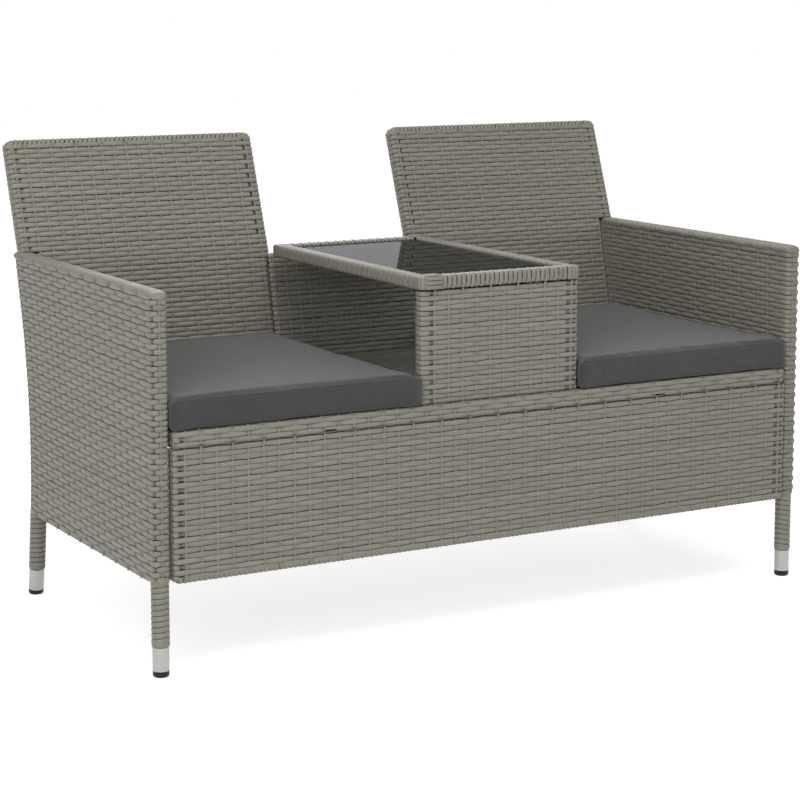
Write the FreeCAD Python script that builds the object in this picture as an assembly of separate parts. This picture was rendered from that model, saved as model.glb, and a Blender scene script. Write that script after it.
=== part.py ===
import FreeCAD, Part
import math
import os

# Two-seat garden bench of woven strand on welded tube, with a glass-topped tea table between the seats.
# Millimetres. X runs along the bench, Y from front to back, Z up from the floor. The origin is on the
# floor under the middle of the bench. Left is the side of negative X, as the viewer in front sees it.

V = FreeCAD.Vector
UP = V(0, 0, 1)
ACROSS = V(1, 0, 0)

# Overall sizes
overall_width = 1330.0
overall_height = 842.0
arm_height = 641.0
seat_height = 409.5
panel_bottom = 156.5

# Strand, tube and clearances
weave_thick = 3.0
tube_wall = 1.5
arm_tube = 25.0
arm_seat_tube = 22.0
seat_tube = 22.0
back_tube = 21.0
middle_tube = 20.0
skirt_tube = 19.0
table_tube = 19.0
side_play = 3.0
soft_play = 0.8
seat_gap = 0.3
tube_play = 0.1
# How far a cutting shape runs past what it cuts
over = 1.0

# Arm panels and legs
arm_corner = 10.0
arm_edge = 8.0
rear_foot_y = 601.0
rear_splay = 9.1
rear_knee_height = 325.0
rear_lean = 14.0
rear_bend_radius = 1060.0

# Feet and leg windings
cap_height = 11.0
cap_round = 4.5
plug_length = 20.0
sleeve_top = 51.0
sleeve_wall = 1.5
winding_turns = 10
winding_gap = 0.85
winding_play = 0.3

# Seat, skirt and the flat bars that show in the seam
skirt_reach = 5.0
seam_gap = 3.0
bar_place = 341.0
bar_width = 18.0
bar_depth = 6.0
bar_wall = 1.2
bar_recess = 3.0
edge_round = 7.0

# Back
back_bend_height = 621.0
back_bend_depth = 602.5
lower_lean = 12.0
upper_lean = 20.0
back_gap_half = 161.0
back_side_inset = 5.5
back_corner = 16.0
back_edge = 6.5
arm_seat_play = 0.3

# Table
rim_width = 333.0
rim_setback = 2.0
rim_depth = 573.0
rim_top = 633.0
rim_height = 23.5
rim_rail = 28.0
rim_corner = 13.0
rim_edge = 4.0
front_panel_width = 326.5
front_panel_setback = 4.5
table_bar_place = 76.0
table_bar_width = 15.0
table_bar_thick = 3.0
glass_thick = 5.0
glass_drop = 4.0
glass_side_play = 1.5
glass_corner = 6.0
glass_edge = 0.8
pad_thick = 2.0
pad_radius = 5.0
pad_setback = 15.3
ledge_width = 12.0
ledge_wall = 1.2
ledge_play = 0.6

# Cushions
cushion_overhang = 6.0
cushion_thick = 50.0
cushion_crown = 7.0
cushion_corner = 22.0
cushion_draw = 5.0
cushion_seam_inset = 4.0
cushion_side_inset = 1.0
cushion_seam_rise = 6.0
cushion_rear_play = 2.0
cover_thick = 1.5
# Share of the crown's rise that is reached at a distance in from the seam
crown_steps = ((0.5, 26.0), (0.85, 75.0), (1.0, 150.0))

# Fasteners
bolt_radius = 3.0
bolt_length = 50.0
bolt_head_radius = 5.5
bolt_head_height = 3.3
bolt_crown = 1.5
bolt_key = 4.0
bolt_key_depth = 2.0
washer_radius = 7.0
washer_thick = 1.5
bolt_hole_play = 0.3
insert_radius = 5.0
insert_length = 14.0
screw_radius = 2.0
screw_length = 11.0
screw_bite = 3.0
screw_head_radius = 3.8
screw_head_height = 2.2
rim_screw_rise = 7.0
rim_screw_shares = (0.2, 0.5, 0.8)
arm_bolt_places = (90.0, 300.0, 510.0)
back_bolt_places = (-560.0, -230.0, 230.0, 560.0)

# Sizes that follow
arm_thickness = arm_tube + 2 * weave_thick
back_thickness = back_tube + 2 * weave_thick
seat_band = seat_tube + 2 * weave_thick
skirt_thickness = skirt_tube + 2 * weave_thick
front_panel_thickness = table_tube + 2 * weave_thick


def tan_deg(angle):
    return math.tan(math.radians(angle))


def lean_normal(angle):
    """Unit vector square to the back's face and pointing behind it, for a lean from upright."""
    a = math.radians(angle)
    return V(0, math.cos(a), -math.sin(a))


def lean_along(angle):
    """Unit vector up the back's face for a lean from upright."""
    a = math.radians(angle)
    return V(0, math.sin(a), math.cos(a))


# Rounding the back's top edges takes a little off its height and its reach to the rear
mean_lean = (lower_lean + upper_lean) / 2
half_turn = math.radians((upper_lean - lower_lean) / 2)
lean_sin = math.sin(math.radians(upper_lean))
lean_cos = math.cos(math.radians(upper_lean))
rounding_loss = back_edge * (lean_sin + lean_cos - 1)
sharp_top = overall_height + rounding_loss
# The depth is known once the back's top rear edge is: it sets where the front posts stand
top_run = (sharp_top - back_bend_height) * tan_deg(upper_lean)
top_rear = back_bend_depth + top_run + back_thickness * lean_cos
overall_depth = top_rear - rounding_loss + cushion_overhang
front_y = -overall_depth / 2 + cushion_overhang

arm_x = overall_width / 2 - arm_thickness / 2
arm_inner_x = overall_width / 2 - arm_thickness
seat_half = arm_inner_x - side_play
front_leg_y = front_y + arm_thickness / 2
arm_rail_z = arm_height - arm_thickness / 2
seat_rail_z = seat_height - weave_thick - seat_tube / 2
seam_height = seat_height - seat_band
skirt_top = seam_height - seam_gap
skirt_front = front_y - skirt_reach
front_rail_y = skirt_front + seat_band / 2
skirt_rail_y = skirt_front + skirt_thickness / 2
lower_rail_z = panel_bottom + weave_thick + skirt_tube / 2
table_under = rim_top - rim_height
table_bar_top = table_under
panel_top = table_under - table_bar_thick
rim_screw_length = ledge_width + ledge_play + weave_thick + tube_wall + screw_bite


def back_face(height, depth):
    """Y of the surface that lies a depth behind the back's front face, at a height."""
    corner = V(0, front_y + back_bend_depth, back_bend_height)
    corner = corner + lean_normal(mean_lean) * (depth / math.cos(half_turn))
    lean = upper_lean if height > corner.z else lower_lean
    return corner.y + (height - corner.z) * tan_deg(lean)


back_middle = back_thickness / 2
back_rail_z = seat_height + weave_thick + back_tube / 2
rear_rail_y = back_face(back_rail_z, back_middle)
deck_rear = rear_rail_y + seat_band / 2


def cylinder(start, end, radius):
    """A round bar from one point to another."""
    return Part.makeCylinder(radius, (end - start).Length, start, end - start)


def fuse_all(shapes):
    """One solid from shapes that overlap or touch."""
    joined = shapes[0].fuse(shapes[1:]) if len(shapes) > 1 else shapes[0]
    return joined.removeSplitter()


def block(x0, x1, y0, y1, z0, z1):
    """A box between two corners."""
    return Part.makeBox(x1 - x0, y1 - y0, z1 - z0, V(x0, y0, z0))


def mirror_x(shape):
    """The same piece on the other side of the bench."""
    return shape.mirror(V(0, 0, 0), ACROSS)


def round_edges(shape, radius, wanted):
    """Rounds every edge of a shape that a test picks."""
    edges = [edge for edge in shape.Edges if wanted(edge)]
    return shape.makeFillet(radius, edges)


def along(edge, direction):
    """True for a straight edge that runs along a direction."""
    if not isinstance(edge.Curve, Part.Line):
        return False
    return abs(edge.tangentAt(edge.FirstParameter).dot(direction)) > 0.999


# Welded tube


def ball(before, corner, after, radius):
    """A ball that rounds the corner of a bar, its poles and seam turned inside the bar."""
    come = (corner - before).normalize()
    go = (after - corner).normalize()
    axis = (come + go).normalize()
    seam = (go - come).normalize()
    sphere = Part.makeSphere(radius)
    sphere.Placement = FreeCAD.Placement(corner, FreeCAD.Rotation(seam, axis.cross(seam), axis, "ZXY"))
    return sphere


def tube_run(points, radius):
    """A solid bar through points, with a ball at each inner corner."""
    parts = [cylinder(a, b, radius) for a, b in zip(points, points[1:])]
    parts += [ball(a, b, c, radius) for a, b, c in zip(points, points[1:], points[2:])]
    return parts


def tube_ring(points, radius):
    """A solid bar round a closed outline."""
    return tube_run(points + points[:2], radius)[1:]


def weld(runs, bores):
    """Tubes joined as a weldment: the outer bars fused, with the bores taken out."""
    return fuse_all(runs).cut(fuse_all(bores))


# Rear leg: a straight splayed foot, a long bend and a straight top, in the plane of the arm panel


def rear_leg_marks(side_x):
    """Foot, two tangent points, the bend's middle and the top of the rear leg's axis."""
    knee = V(side_x, front_y + rear_foot_y - rear_knee_height * tan_deg(rear_splay), rear_knee_height)
    down = V(0, math.sin(math.radians(rear_splay)), -math.cos(math.radians(rear_splay)))
    up = lean_along(rear_lean)
    half = math.radians((rear_splay + rear_lean) / 2)
    reach = rear_bend_radius * math.tan(half)
    low = knee + down * reach
    high = knee + up * reach
    bisector = (down + up).normalize()
    centre = knee + bisector * (rear_bend_radius / math.cos(half))
    middle = centre - bisector * rear_bend_radius
    foot = knee + down * (rear_knee_height / math.cos(math.radians(rear_splay)))
    top = knee + up * ((arm_rail_z - rear_knee_height) / math.cos(math.radians(rear_lean)))
    return foot, low, middle, high, top, centre, down


def rear_leg(side_x, radius, end):
    """The bent leg as a solid bar, cut off a length above the floor along its axis."""
    foot, low, middle, high, top, centre, down = rear_leg_marks(side_x)
    start = foot - down * end
    turn = rear_splay + rear_lean
    disc = Part.Face(Part.Wire(Part.makeCircle(radius, low, down * -1)))
    bend = disc.revolve(centre, ACROSS, -turn)
    return [cylinder(start, low, radius), bend, cylinder(high, top, radius)]


def arm_outline(inset):
    """Side outline of an arm panel in the plane X = 0, drawn in by an inset."""
    foot, low, middle, high, top, centre, down = rear_leg_marks(0)
    reach = arm_thickness / 2 - inset
    behind_up = lean_normal(rear_lean)
    z0 = panel_bottom + inset
    z1 = arm_height - inset
    y0 = front_y + inset
    arc_high = high + behind_up * reach
    arc_middle = middle + (centre - middle).normalize() * reach
    y_top = top.y + reach / math.cos(math.radians(rear_lean))
    y_top = y_top + (z1 - arm_rail_z) * tan_deg(rear_lean)
    # The bend starts below the panel, so the outline leaves the floor side on the bend's arc
    radius = (centre - arc_middle).Length
    y_low = centre.y - math.sqrt(radius ** 2 - (centre.z - z0) ** 2)
    corners = [V(0, y0, z0), V(0, y0, z1), V(0, y_top, z1), arc_high, V(0, y_low, z0)]
    start_angle = math.atan2(arc_high.z - centre.z, arc_high.y - centre.y)
    end_angle = math.atan2(z0 - centre.z, y_low - centre.y) % (2 * math.pi)
    mid_angle = (start_angle % (2 * math.pi) + end_angle) / 2
    mid = V(0, centre.y + radius * math.cos(mid_angle), centre.z + radius * math.sin(mid_angle))
    edges = [
        Part.LineSegment(corners[0], corners[1]).toShape(),
        Part.LineSegment(corners[1], corners[2]).toShape(),
        Part.LineSegment(corners[2], corners[3]).toShape(),
        Part.Arc(corners[3], mid, corners[4]).toShape(),
        Part.LineSegment(corners[4], corners[0]).toShape(),
    ]
    return Part.Face(Part.Wire(edges))


def arm_panel_solid(inset, corner, edge):
    """The arm panel as a slab on the left side, drawn in by an inset and rounded."""
    x0 = -overall_width / 2 + inset
    slab = arm_outline(inset).extrude(V(arm_thickness - 2 * inset, 0, 0))
    slab.translate(V(x0, 0, 0))
    z_top = arm_height - inset

    def is_top_corner(e):
        return along(e, ACROSS) and abs(e.CenterOfMass.z - z_top) < 0.01

    slab = round_edges(slab, corner, is_top_corner)
    if edge == 0:
        return slab
    x1 = x0 + arm_thickness - 2 * inset
    low = panel_bottom + inset

    def is_rim(e):
        flat = abs(e.BoundBox.XMin - e.BoundBox.XMax) < 0.01
        on_side = abs(e.BoundBox.XMin - x0) < 0.01 or abs(e.BoundBox.XMin - x1) < 0.01
        return flat and on_side and e.BoundBox.ZMax > low + 0.5

    return round_edges(slab, edge, is_rim)


def bolt_hole_x(y, z):
    """A clearance hole from the seat's side rail into the left arm's seat rail."""
    radius = bolt_radius + bolt_hole_play
    return cylinder(V(-seat_half + 2 * seat_band, y, z), V(-arm_x, y, z), radius)


def make_arm():
    """The left arm's frame and its woven skin."""
    side_x = -arm_x
    foot, low, middle, high, top, centre, down = rear_leg_marks(side_x)
    rail_r = arm_tube / 2
    seat_r = arm_seat_tube / 2
    cross_r = skirt_tube / 2
    front_foot = V(side_x, front_leg_y, cap_height)
    front_top = V(side_x, front_leg_y, arm_rail_z)

    def bars(wall):
        parts = tube_run([front_foot, front_top, top], rail_r - wall)
        parts += rear_leg(side_x, rail_r - wall, cap_height)
        parts.append(ball(front_top, top, high, rail_r - wall))
        for height, radius in ((lower_rail_z, cross_r - wall), (seat_rail_z, seat_r - wall)):
            start = V(side_x, front_leg_y, height)
            parts.append(cylinder(start, V(side_x, rear_axis_y(height), height), radius))
        return parts

    frame = weld(bars(0), bars(tube_wall))
    skin = arm_panel_solid(0, arm_corner, arm_edge)
    skin = skin.cut(arm_panel_solid(weave_thick, arm_corner - weave_thick, 0))
    leg_hole_r = rail_r + tube_play
    holes = [cylinder(front_foot, V(side_x, front_leg_y, panel_bottom + arm_thickness), leg_hole_r)]
    holes.append(fuse_all(rear_leg(side_x, leg_hole_r, cap_height)))
    for y in arm_bolt_places:
        skin = skin.cut(bolt_hole_x(front_y + y, seat_rail_z))
        frame = frame.cut(insert_space(V(side_x + seat_r, front_y + y, seat_rail_z), ACROSS * -1))
    for hole in holes:
        skin = skin.cut(hole)
    return frame, largest(skin)


def rear_axis_y(height):
    """Y of the rear leg's axis at a height inside the bend or on its straight ends."""
    foot, low, middle, high, top, centre, down = rear_leg_marks(0)
    if height < low.z:
        return foot.y - height * tan_deg(rear_splay)
    if height > high.z:
        return high.y + (height - high.z) * tan_deg(rear_lean)
    return centre.y - math.sqrt(rear_bend_radius ** 2 - (height - centre.z) ** 2)


def largest(shape):
    """The one solid of a cut that is the piece itself."""
    return max(shape.Solids, key=lambda s: s.Volume)


# Fasteners, each drawn along an axis from the face that its head sits on


def bolt(seat, direction):
    """Button-head bolt with a hexagon key socket: the shank runs from the seat along a direction."""
    direction = V(direction).normalize()
    shank = Part.makeCylinder(bolt_radius, bolt_length, seat, direction)
    head = Part.makeCylinder(bolt_head_radius, bolt_head_height, seat - direction * bolt_head_height, direction)
    crown = max(head.Edges, key=lambda e: (seat - e.CenterOfMass).Length if e.Closed else -1)
    head = head.makeFillet(bolt_crown, [crown])
    key = hexagon(bolt_key / 2, bolt_key_depth + over)
    key = placed(key, seat - direction * (bolt_head_height + over), direction)
    return head.fuse(shank).removeSplitter().cut(key)


def hexagon(inradius, height):
    """A six-sided bar, its flats twice the inradius apart."""
    reach = inradius / math.cos(math.radians(30))
    points = [V(reach * math.cos(k * math.pi / 3), reach * math.sin(k * math.pi / 3), 0) for k in range(7)]
    return Part.Face(Part.makePolygon(points)).extrude(V(0, 0, height))


def placed(shape, origin, direction):
    """A shape drawn up +Z from the origin, moved to a point and turned to a direction."""
    moved = shape.copy()
    moved.Placement = FreeCAD.Placement(origin, FreeCAD.Rotation(UP, direction))
    return moved


def washer(seat, direction):
    """Flat washer that lies on a face, on the side that the bolt comes from."""
    direction = V(direction).normalize()
    ring = Part.makeCylinder(washer_radius, washer_thick, seat, direction)
    return ring.cut(Part.makeCylinder(bolt_radius + bolt_hole_play, washer_thick, seat, direction))


def spacer(y, sign):
    """Ring between the seat's side and the arm, round an arm bolt."""
    start = V(sign * seat_half, front_y + y, seat_rail_z)
    out = V(sign, 0, 0)
    ring = Part.makeCylinder(washer_radius, side_play, start, out)
    return ring.cut(Part.makeCylinder(bolt_radius + bolt_hole_play, side_play, start, out))


def insert_space(start, direction):
    """The hole that a threaded insert fills, from the tube's outer face inwards."""
    return cylinder(start, start + direction * insert_length, insert_radius + tube_play)


def threaded_insert(start, direction):
    """A round insert with the bolt's hole through it."""
    body = Part.makeCylinder(insert_radius, insert_length, start, direction)
    return body.cut(Part.makeCylinder(bolt_radius + tube_play, insert_length, start, direction))


def screw(seat, direction, length):
    """Pan-head screw: the shank runs from the seat along a direction."""
    direction = V(direction).normalize()
    shank = Part.makeCylinder(screw_radius, length, seat, direction)
    head = Part.makeCylinder(screw_head_radius, screw_head_height, seat - direction * screw_head_height, direction)
    return head.fuse(shank).removeSplitter()


# Feet


def leg_axes():
    """Name, floor point and upward direction of each leg's axis."""
    foot, low, middle, high, top, centre, down = rear_leg_marks(0)
    rows = []
    for side, sign in (("left", -1), ("right", 1)):
        rows.append(("front_" + side, V(sign * arm_x, front_leg_y, 0), UP))
        rows.append(("rear_" + side, V(sign * arm_x, foot.y, 0), down * -1))
    return rows


def foot_cap(point, direction):
    """Black plastic foot: a rounded base cut flat on the floor and a plug up the tube."""
    radius = arm_tube / 2 + sleeve_wall
    base = cylinder(point - direction * cap_height, point + direction * cap_height, radius)
    reach = 4 * radius
    base = base.cut(block(point.x - reach, point.x + reach, point.y - reach, point.y + reach, -reach, 0))

    def on_floor(e):
        return e.BoundBox.ZMax < 0.01

    base = round_edges(base, cap_round, on_floor)
    plug_top = point + direction * (cap_height + plug_length)
    plug = cylinder(point + direction * (cap_height - over), plug_top, arm_tube / 2 - tube_wall - tube_play)
    return base.fuse(plug).removeSplitter()


def leg_sleeve(point, direction):
    """Silver ferrule over the end of the leg tube."""
    start = point + direction * cap_height
    end = point + direction * sleeve_top
    return cylinder(start, end, arm_tube / 2 + sleeve_wall).cut(cylinder(start, end, arm_tube / 2 + tube_play))


def front_leg_place(side_x, reach):
    """Axis point, normal and upward direction at a distance up a front leg."""
    return V(side_x, front_leg_y, reach), V(0, 1, 0), UP


def rear_leg_place(side_x, reach):
    """Axis point, normal and upward direction at a distance up a rear leg, round its bend."""
    foot, low, middle, high, top, centre, down = rear_leg_marks(side_x)
    straight = (low - foot).Length
    side = V(0, -down.z, down.y)
    if reach <= straight:
        return foot - down * reach, side, down * -1
    turned = (reach - straight) / rear_bend_radius
    inward = side * math.cos(turned) + down * math.sin(turned)
    upward = side * math.sin(turned) - down * math.cos(turned)
    return centre - inward * rear_bend_radius, inward, upward


def biarc(start, start_way, end, end_way):
    """Two arcs that join two points and meet tangentially, as curve shapes."""
    gap = end - start
    ways = start_way + end_way
    spread = 2 * (1 - start_way.dot(end_way))
    if spread < 1e-9:
        return [Part.LineSegment(start, end).toShape()]
    along_ways = gap.dot(ways)
    reach = (math.sqrt(along_ways ** 2 + spread * gap.dot(gap)) - along_ways) / spread
    joint = (start + end + (start_way - end_way) * reach) / 2
    return [arc_from(start, start_way, joint), arc_from(end, end_way * -1, joint)]


def arc_from(start, way, end):
    """The arc that leaves a point along a direction and ends at another point."""
    chord = end - start
    flat = V(chord).normalize()
    side = way - flat * way.dot(flat)
    half_angle = math.atan2(side.Length, way.dot(flat)) / 2
    bulge = side.normalize() * (chord.Length / 2 * math.tan(half_angle))
    return Part.Arc(start, start + chord / 2 + bulge, end).toShape()


def least_gap(points, spacing, width):
    """Least gap of a wound strand to itself, measured between points along its middle."""
    least = float("inf")
    for k, a in enumerate(points):
        for b in points[k + spacing:]:
            least = min(least, (b - a).Length)
    return least - width


def leg_winding(name, place, side_x):
    """One flat strand wound round the leg in a helix, from the sleeve to the arm panel."""
    inner = arm_tube / 2 + tube_play
    outer = arm_thickness / 2
    radius = (inner + outer) / 2
    low = sleeve_top + winding_play
    tilt = place(side_x, low)[2]
    reach_up = panel_bottom - winding_play - outer * abs(tilt.y)
    high = reach_up / tilt.z
    pitch = (high - low) / (winding_turns + 1)
    width = pitch - winding_gap

    def on_helix(turn):
        axis, side, up = place(side_x, low + width / 2 + pitch * turn)
        angle = 2 * math.pi * turn
        return axis + ACROSS * (radius * math.cos(angle)) + side * (radius * math.sin(angle))

    def way(turn):
        return (on_helix(turn + 0.001) - on_helix(turn - 0.001)).normalize()

    edges = []
    for half in range(2 * winding_turns):
        a, b = half / 2, (half + 1) / 2
        edges += biarc(on_helix(a), way(a), on_helix(b), way(b))
    spine = Part.Wire(edges)
    section = Part.Wire(Part.makeCircle(width / 2, on_helix(0), way(0)))
    shell = Part.BRepOffsetAPI.MakePipeShell(spine)
    shell.add(section)
    shell.build()
    shell.makeSolid()
    # The round sweep is pressed flat: only what lies between the tube and the winding's face stays
    layer = leg_bar(place, side_x, outer, low, high).cut(leg_bar(place, side_x, inner, low, high))
    wound = largest(shell.shape().common(layer))
    per_turn = 24
    points = [on_helix(k / per_turn) for k in range(per_turn * winding_turns + 1)]
    print("%s winding: least gap to itself %.2f mm" % (name, least_gap(points, per_turn // 2, width)))
    return wound


def leg_bar(place, side_x, radius, low, high):
    """A solid round bar along a leg's axis, a little longer than the wound stretch."""
    start = place(side_x, low - over)[0]
    end = place(side_x, high + over)[0]
    if place is front_leg_place:
        return cylinder(start, end, radius)
    foot, tangent = rear_leg_marks(side_x)[:2]
    straight = (tangent - foot).Length
    middle = place(side_x, (straight + high + over) / 2)[0]
    disc = Part.Face(Part.Wire(Part.makeCircle(radius, tangent, tangent - foot)))
    arc = Part.Wire(Part.Arc(tangent, middle, end).toShape())
    return cylinder(start, tangent, radius).fuse(arc.makePipe(disc))


def make_windings():
    """A winding for each leg, between its sleeve and the underside of the arm panel."""
    rows = []
    for end, place in (("front", front_leg_place), ("rear", rear_leg_place)):
        wound = leg_winding(end + " leg", place, -arm_x)
        rows.append((end + "_left_leg_winding", wound))
        rows.append((end + "_right_leg_winding", mirror_x(wound)))
    return rows


# Seat


def seat_ring(radius):
    """The seat frame's four rails as bars."""
    x = seat_half - weave_thick - seat_tube / 2
    z = seat_rail_z
    corners = [V(-x, front_rail_y, z), V(x, front_rail_y, z), V(x, rear_rail_y, z), V(-x, rear_rail_y, z)]
    return tube_ring(corners, radius)


def skirt_bars(radius):
    """The skirt's uprights under the front rail and its bottom rail."""
    x = seat_half - weave_thick - skirt_tube / 2
    top = seat_rail_z
    parts = tube_run([V(-x, skirt_rail_y, top), V(-x, skirt_rail_y, lower_rail_z),
                      V(x, skirt_rail_y, lower_rail_z), V(x, skirt_rail_y, top)], radius)
    return parts


def cross_tubes():
    """The two flat tubes under the seat, whose open front ends show in the seam."""
    high = seat_rail_z - seat_tube / 2
    low = high - bar_depth
    front = skirt_front + bar_recess
    rear = rear_rail_y + seat_tube / 2
    tubes = []
    for sign in (-1, 1):
        x0 = sign * bar_place - bar_width / 2
        x1 = x0 + bar_width
        outer = block(x0, x1, front, rear, low, high)
        bore = block(x0 + bar_wall, x1 - bar_wall, front - over, rear + over, low + bar_wall, high - bar_wall)
        tubes.append(outer.cut(bore))
    return tubes


def make_seat_frame():
    """Seat and skirt tubes welded together, drilled for the bolts and screws."""
    r = seat_tube / 2
    s = skirt_tube / 2
    bores = seat_ring(r - tube_wall) + skirt_bars(s - tube_wall)
    frame = weld(seat_ring(r) + skirt_bars(s), bores)
    for hole in seat_holes():
        frame = frame.cut(hole)
    return largest(frame)


def seat_holes():
    """Clearance holes of the arm bolts, the back bolts and the table's front screws."""
    holes = []
    for y in arm_bolt_places:
        hole = bolt_hole_x(front_y + y, seat_rail_z)
        holes += [hole, mirror_x(hole)]
    radius = bolt_radius + bolt_hole_play
    for x in back_bolt_places:
        low = V(x, rear_rail_y, seam_height - over)
        holes.append(cylinder(low, low + UP * (seat_band + 2 * over), radius))
    for x in front_screw_places():
        low = V(x, front_screw_y(), seam_height - over)
        holes.append(cylinder(low, low + UP * (seat_band + 2 * over), screw_radius + bolt_hole_play))
    return holes


def front_screw_places():
    """The screws that hold the table's front panel from below the seat."""
    return (-front_panel_width / 3, front_panel_width / 3)


def front_screw_y():
    """Between the axes of the front rail and of the table panel's bottom rail."""
    return (front_rail_y + front_y + front_panel_setback + front_panel_thickness / 2) / 2


def make_seat_weave():
    """The woven deck: one skin over the top that turns round all four rails."""
    y0 = skirt_front
    y1 = deck_rear
    outer = block(-seat_half, seat_half, y0, y1, seam_height, seat_height)

    def is_long(e):
        return along(e, ACROSS) and e.CenterOfMass.y < y0 + over

    outer = round_edges(outer, edge_round, is_long)
    cavity = block(-seat_half + weave_thick, seat_half - weave_thick, y0 + weave_thick, y1 - weave_thick,
                   seam_height + weave_thick, seat_height - weave_thick)
    reach = seat_band
    window = block(-seat_half + reach, seat_half - reach, y0 + reach, y1 - reach,
                   seam_height - over, seat_height - weave_thick)
    inner_lip = block(-seat_half + reach - weave_thick, seat_half - reach + weave_thick, y0 + reach - weave_thick,
                      y1 - reach + weave_thick, seam_height + weave_thick, seat_height - weave_thick)
    rails = cavity.cut(inner_lip)
    skin = outer.cut(rails).cut(window)
    for sign in (-1, 1):
        middle = sign * bar_place
        reach = bar_width / 2 + tube_play
        notch = block(middle - reach, middle + reach, y0 - over, y1 - weave_thick,
                      seam_height - over, seam_height + weave_thick + tube_play)
        skin = skin.cut(notch)
    x = seat_half - weave_thick - skirt_tube / 2
    for sign in (-1, 1):
        low = V(sign * x, skirt_rail_y, seam_height - over)
        skin = skin.cut(cylinder(low, low + V(0, 0, seat_band / 2), skirt_tube / 2 + tube_play))
    for hole in seat_holes():
        skin = skin.cut(hole)
    return largest(skin)


def make_skirt_weave():
    """The woven skirt: a closed flat skin round the skirt's tubes."""
    y0 = skirt_front
    y1 = skirt_front + skirt_thickness
    outer = block(-seat_half, seat_half, y0, y1, panel_bottom, skirt_top)

    def is_round(e):
        return along(e, ACROSS) or along(e, UP)

    outer = round_edges(outer, edge_round, is_round)
    inner = block(-seat_half + weave_thick, seat_half - weave_thick, y0 + weave_thick, y1 - weave_thick,
                  panel_bottom + weave_thick, skirt_top - weave_thick)
    skin = outer.cut(inner)
    x = seat_half - weave_thick - skirt_tube / 2
    for sign in (-1, 1):
        low = V(sign * x, skirt_rail_y, skirt_top - weave_thick - over)
        skin = skin.cut(cylinder(low, low + UP * (weave_thick + 2 * over), skirt_tube / 2 + tube_play))
    return largest(skin)


# Back


def back_profile(x0, x1, front, rear, low, high):
    """The back's bent slab between two X, two depths and two heights."""
    bend_front = V(x0, front_y + back_bend_depth, back_bend_height)
    turn = lean_normal(mean_lean)
    near = bend_front + turn * (front / math.cos(half_turn))
    far = bend_front + turn * (rear / math.cos(half_turn))
    points = [V(x0, near.y + (low - near.z) * tan_deg(lower_lean), low), near]
    if high > back_bend_height:
        # The top edge is square to the upper face, and its rear corner is the highest
        rear_top = V(x0, far.y + (high - far.z) * tan_deg(upper_lean), high)
        near_top = rear_top - lean_normal(upper_lean) * (rear - front)
        points += [near_top, near_top + lean_normal(upper_lean) * (rear - front)]
        points += [far]
    else:
        points = points[:1]
        points.append(V(x0, near.y + (high - near.z) * tan_deg(lower_lean), high))
        points.append(V(x0, far.y + (high - far.z) * tan_deg(lower_lean), high))
    points.append(V(x0, far.y + (low - far.z) * tan_deg(lower_lean), low))
    face = Part.Face(Part.makePolygon(points + [points[0]]))
    return face.extrude(V(x1 - x0, 0, 0))


def tower(inset, corner, edge):
    """The right back as a slab, drawn in by an inset: wide over the arm and narrow between the arms."""
    x0 = back_gap_half + inset
    wide = overall_width / 2 - back_side_inset - inset
    narrow = seat_half - inset
    low = seat_height + inset
    # The front top corner is the highest, so the rear one is lower by the slab's thickness on the lean
    full = back_thickness - 2 * inset
    high = sharp_top - inset * lean_cos - (full + inset) * lean_sin
    slab = back_profile(x0, wide, inset, back_thickness - inset, low, high)
    shoulder = arm_height + arm_seat_play + inset
    slab = slab.cut(block(narrow, wide + over, front_y, front_y + 2 * back_bend_depth, 0, shoulder))
    square = lean_normal(upper_lean)

    def is_top_corner(e):
        return along(e, square) and e.CenterOfMass.z > high - over

    slab = round_edges(slab, corner, is_top_corner)
    if edge == 0:
        return slab

    def is_rim(e):
        if e.CenterOfMass.z < shoulder + over:
            return False
        return not along(e, square) and not is_bend(e)

    def is_bend(e):
        return along(e, ACROSS) and abs(e.CenterOfMass.z - back_bend_height) < back_thickness

    return round_edges(slab, edge, is_rim)


def back_point(x, height):
    """A point on the back's middle plane."""
    return V(x, back_face(height, back_middle), height)


def back_bars(radius):
    """The back frame's tubes: both towers and the part behind the table."""
    turn = lean_normal(mean_lean)
    bend = V(0, front_y + back_bend_depth, back_bend_height) + turn * (back_middle / math.cos(half_turn))
    inset = weave_thick + back_tube / 2
    inner_x = back_gap_half + inset
    low_x = seat_half - inset
    high_x = overall_width / 2 - back_side_inset - inset
    top_z = sharp_top - inset * lean_cos - back_middle * lean_sin
    shoulder_z = arm_height + arm_seat_play + inset
    parts = []
    for sign in (-1, 1):
        ring = [back_point(inner_x, back_rail_z), V(inner_x, bend.y, bend.z), back_point(inner_x, top_z),
                back_point(high_x, top_z), back_point(high_x, shoulder_z), back_point(low_x, shoulder_z),
                V(low_x, bend.y, bend.z), back_point(low_x, back_rail_z)]
        parts += tube_ring([V(sign * p.x, p.y, p.z) for p in ring], radius)
    slim = radius - (back_tube - middle_tube) / 2
    for height in (back_rail_z, panel_top - weave_thick - back_tube / 2):
        parts.append(cylinder(back_point(-inner_x, height), back_point(inner_x, height), slim))
    return parts


def back_insert_seat(x):
    """Where a back bolt's insert starts: the underside of the back's bottom rail."""
    return V(x, rear_rail_y, back_rail_z - back_tube / 2)


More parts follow.
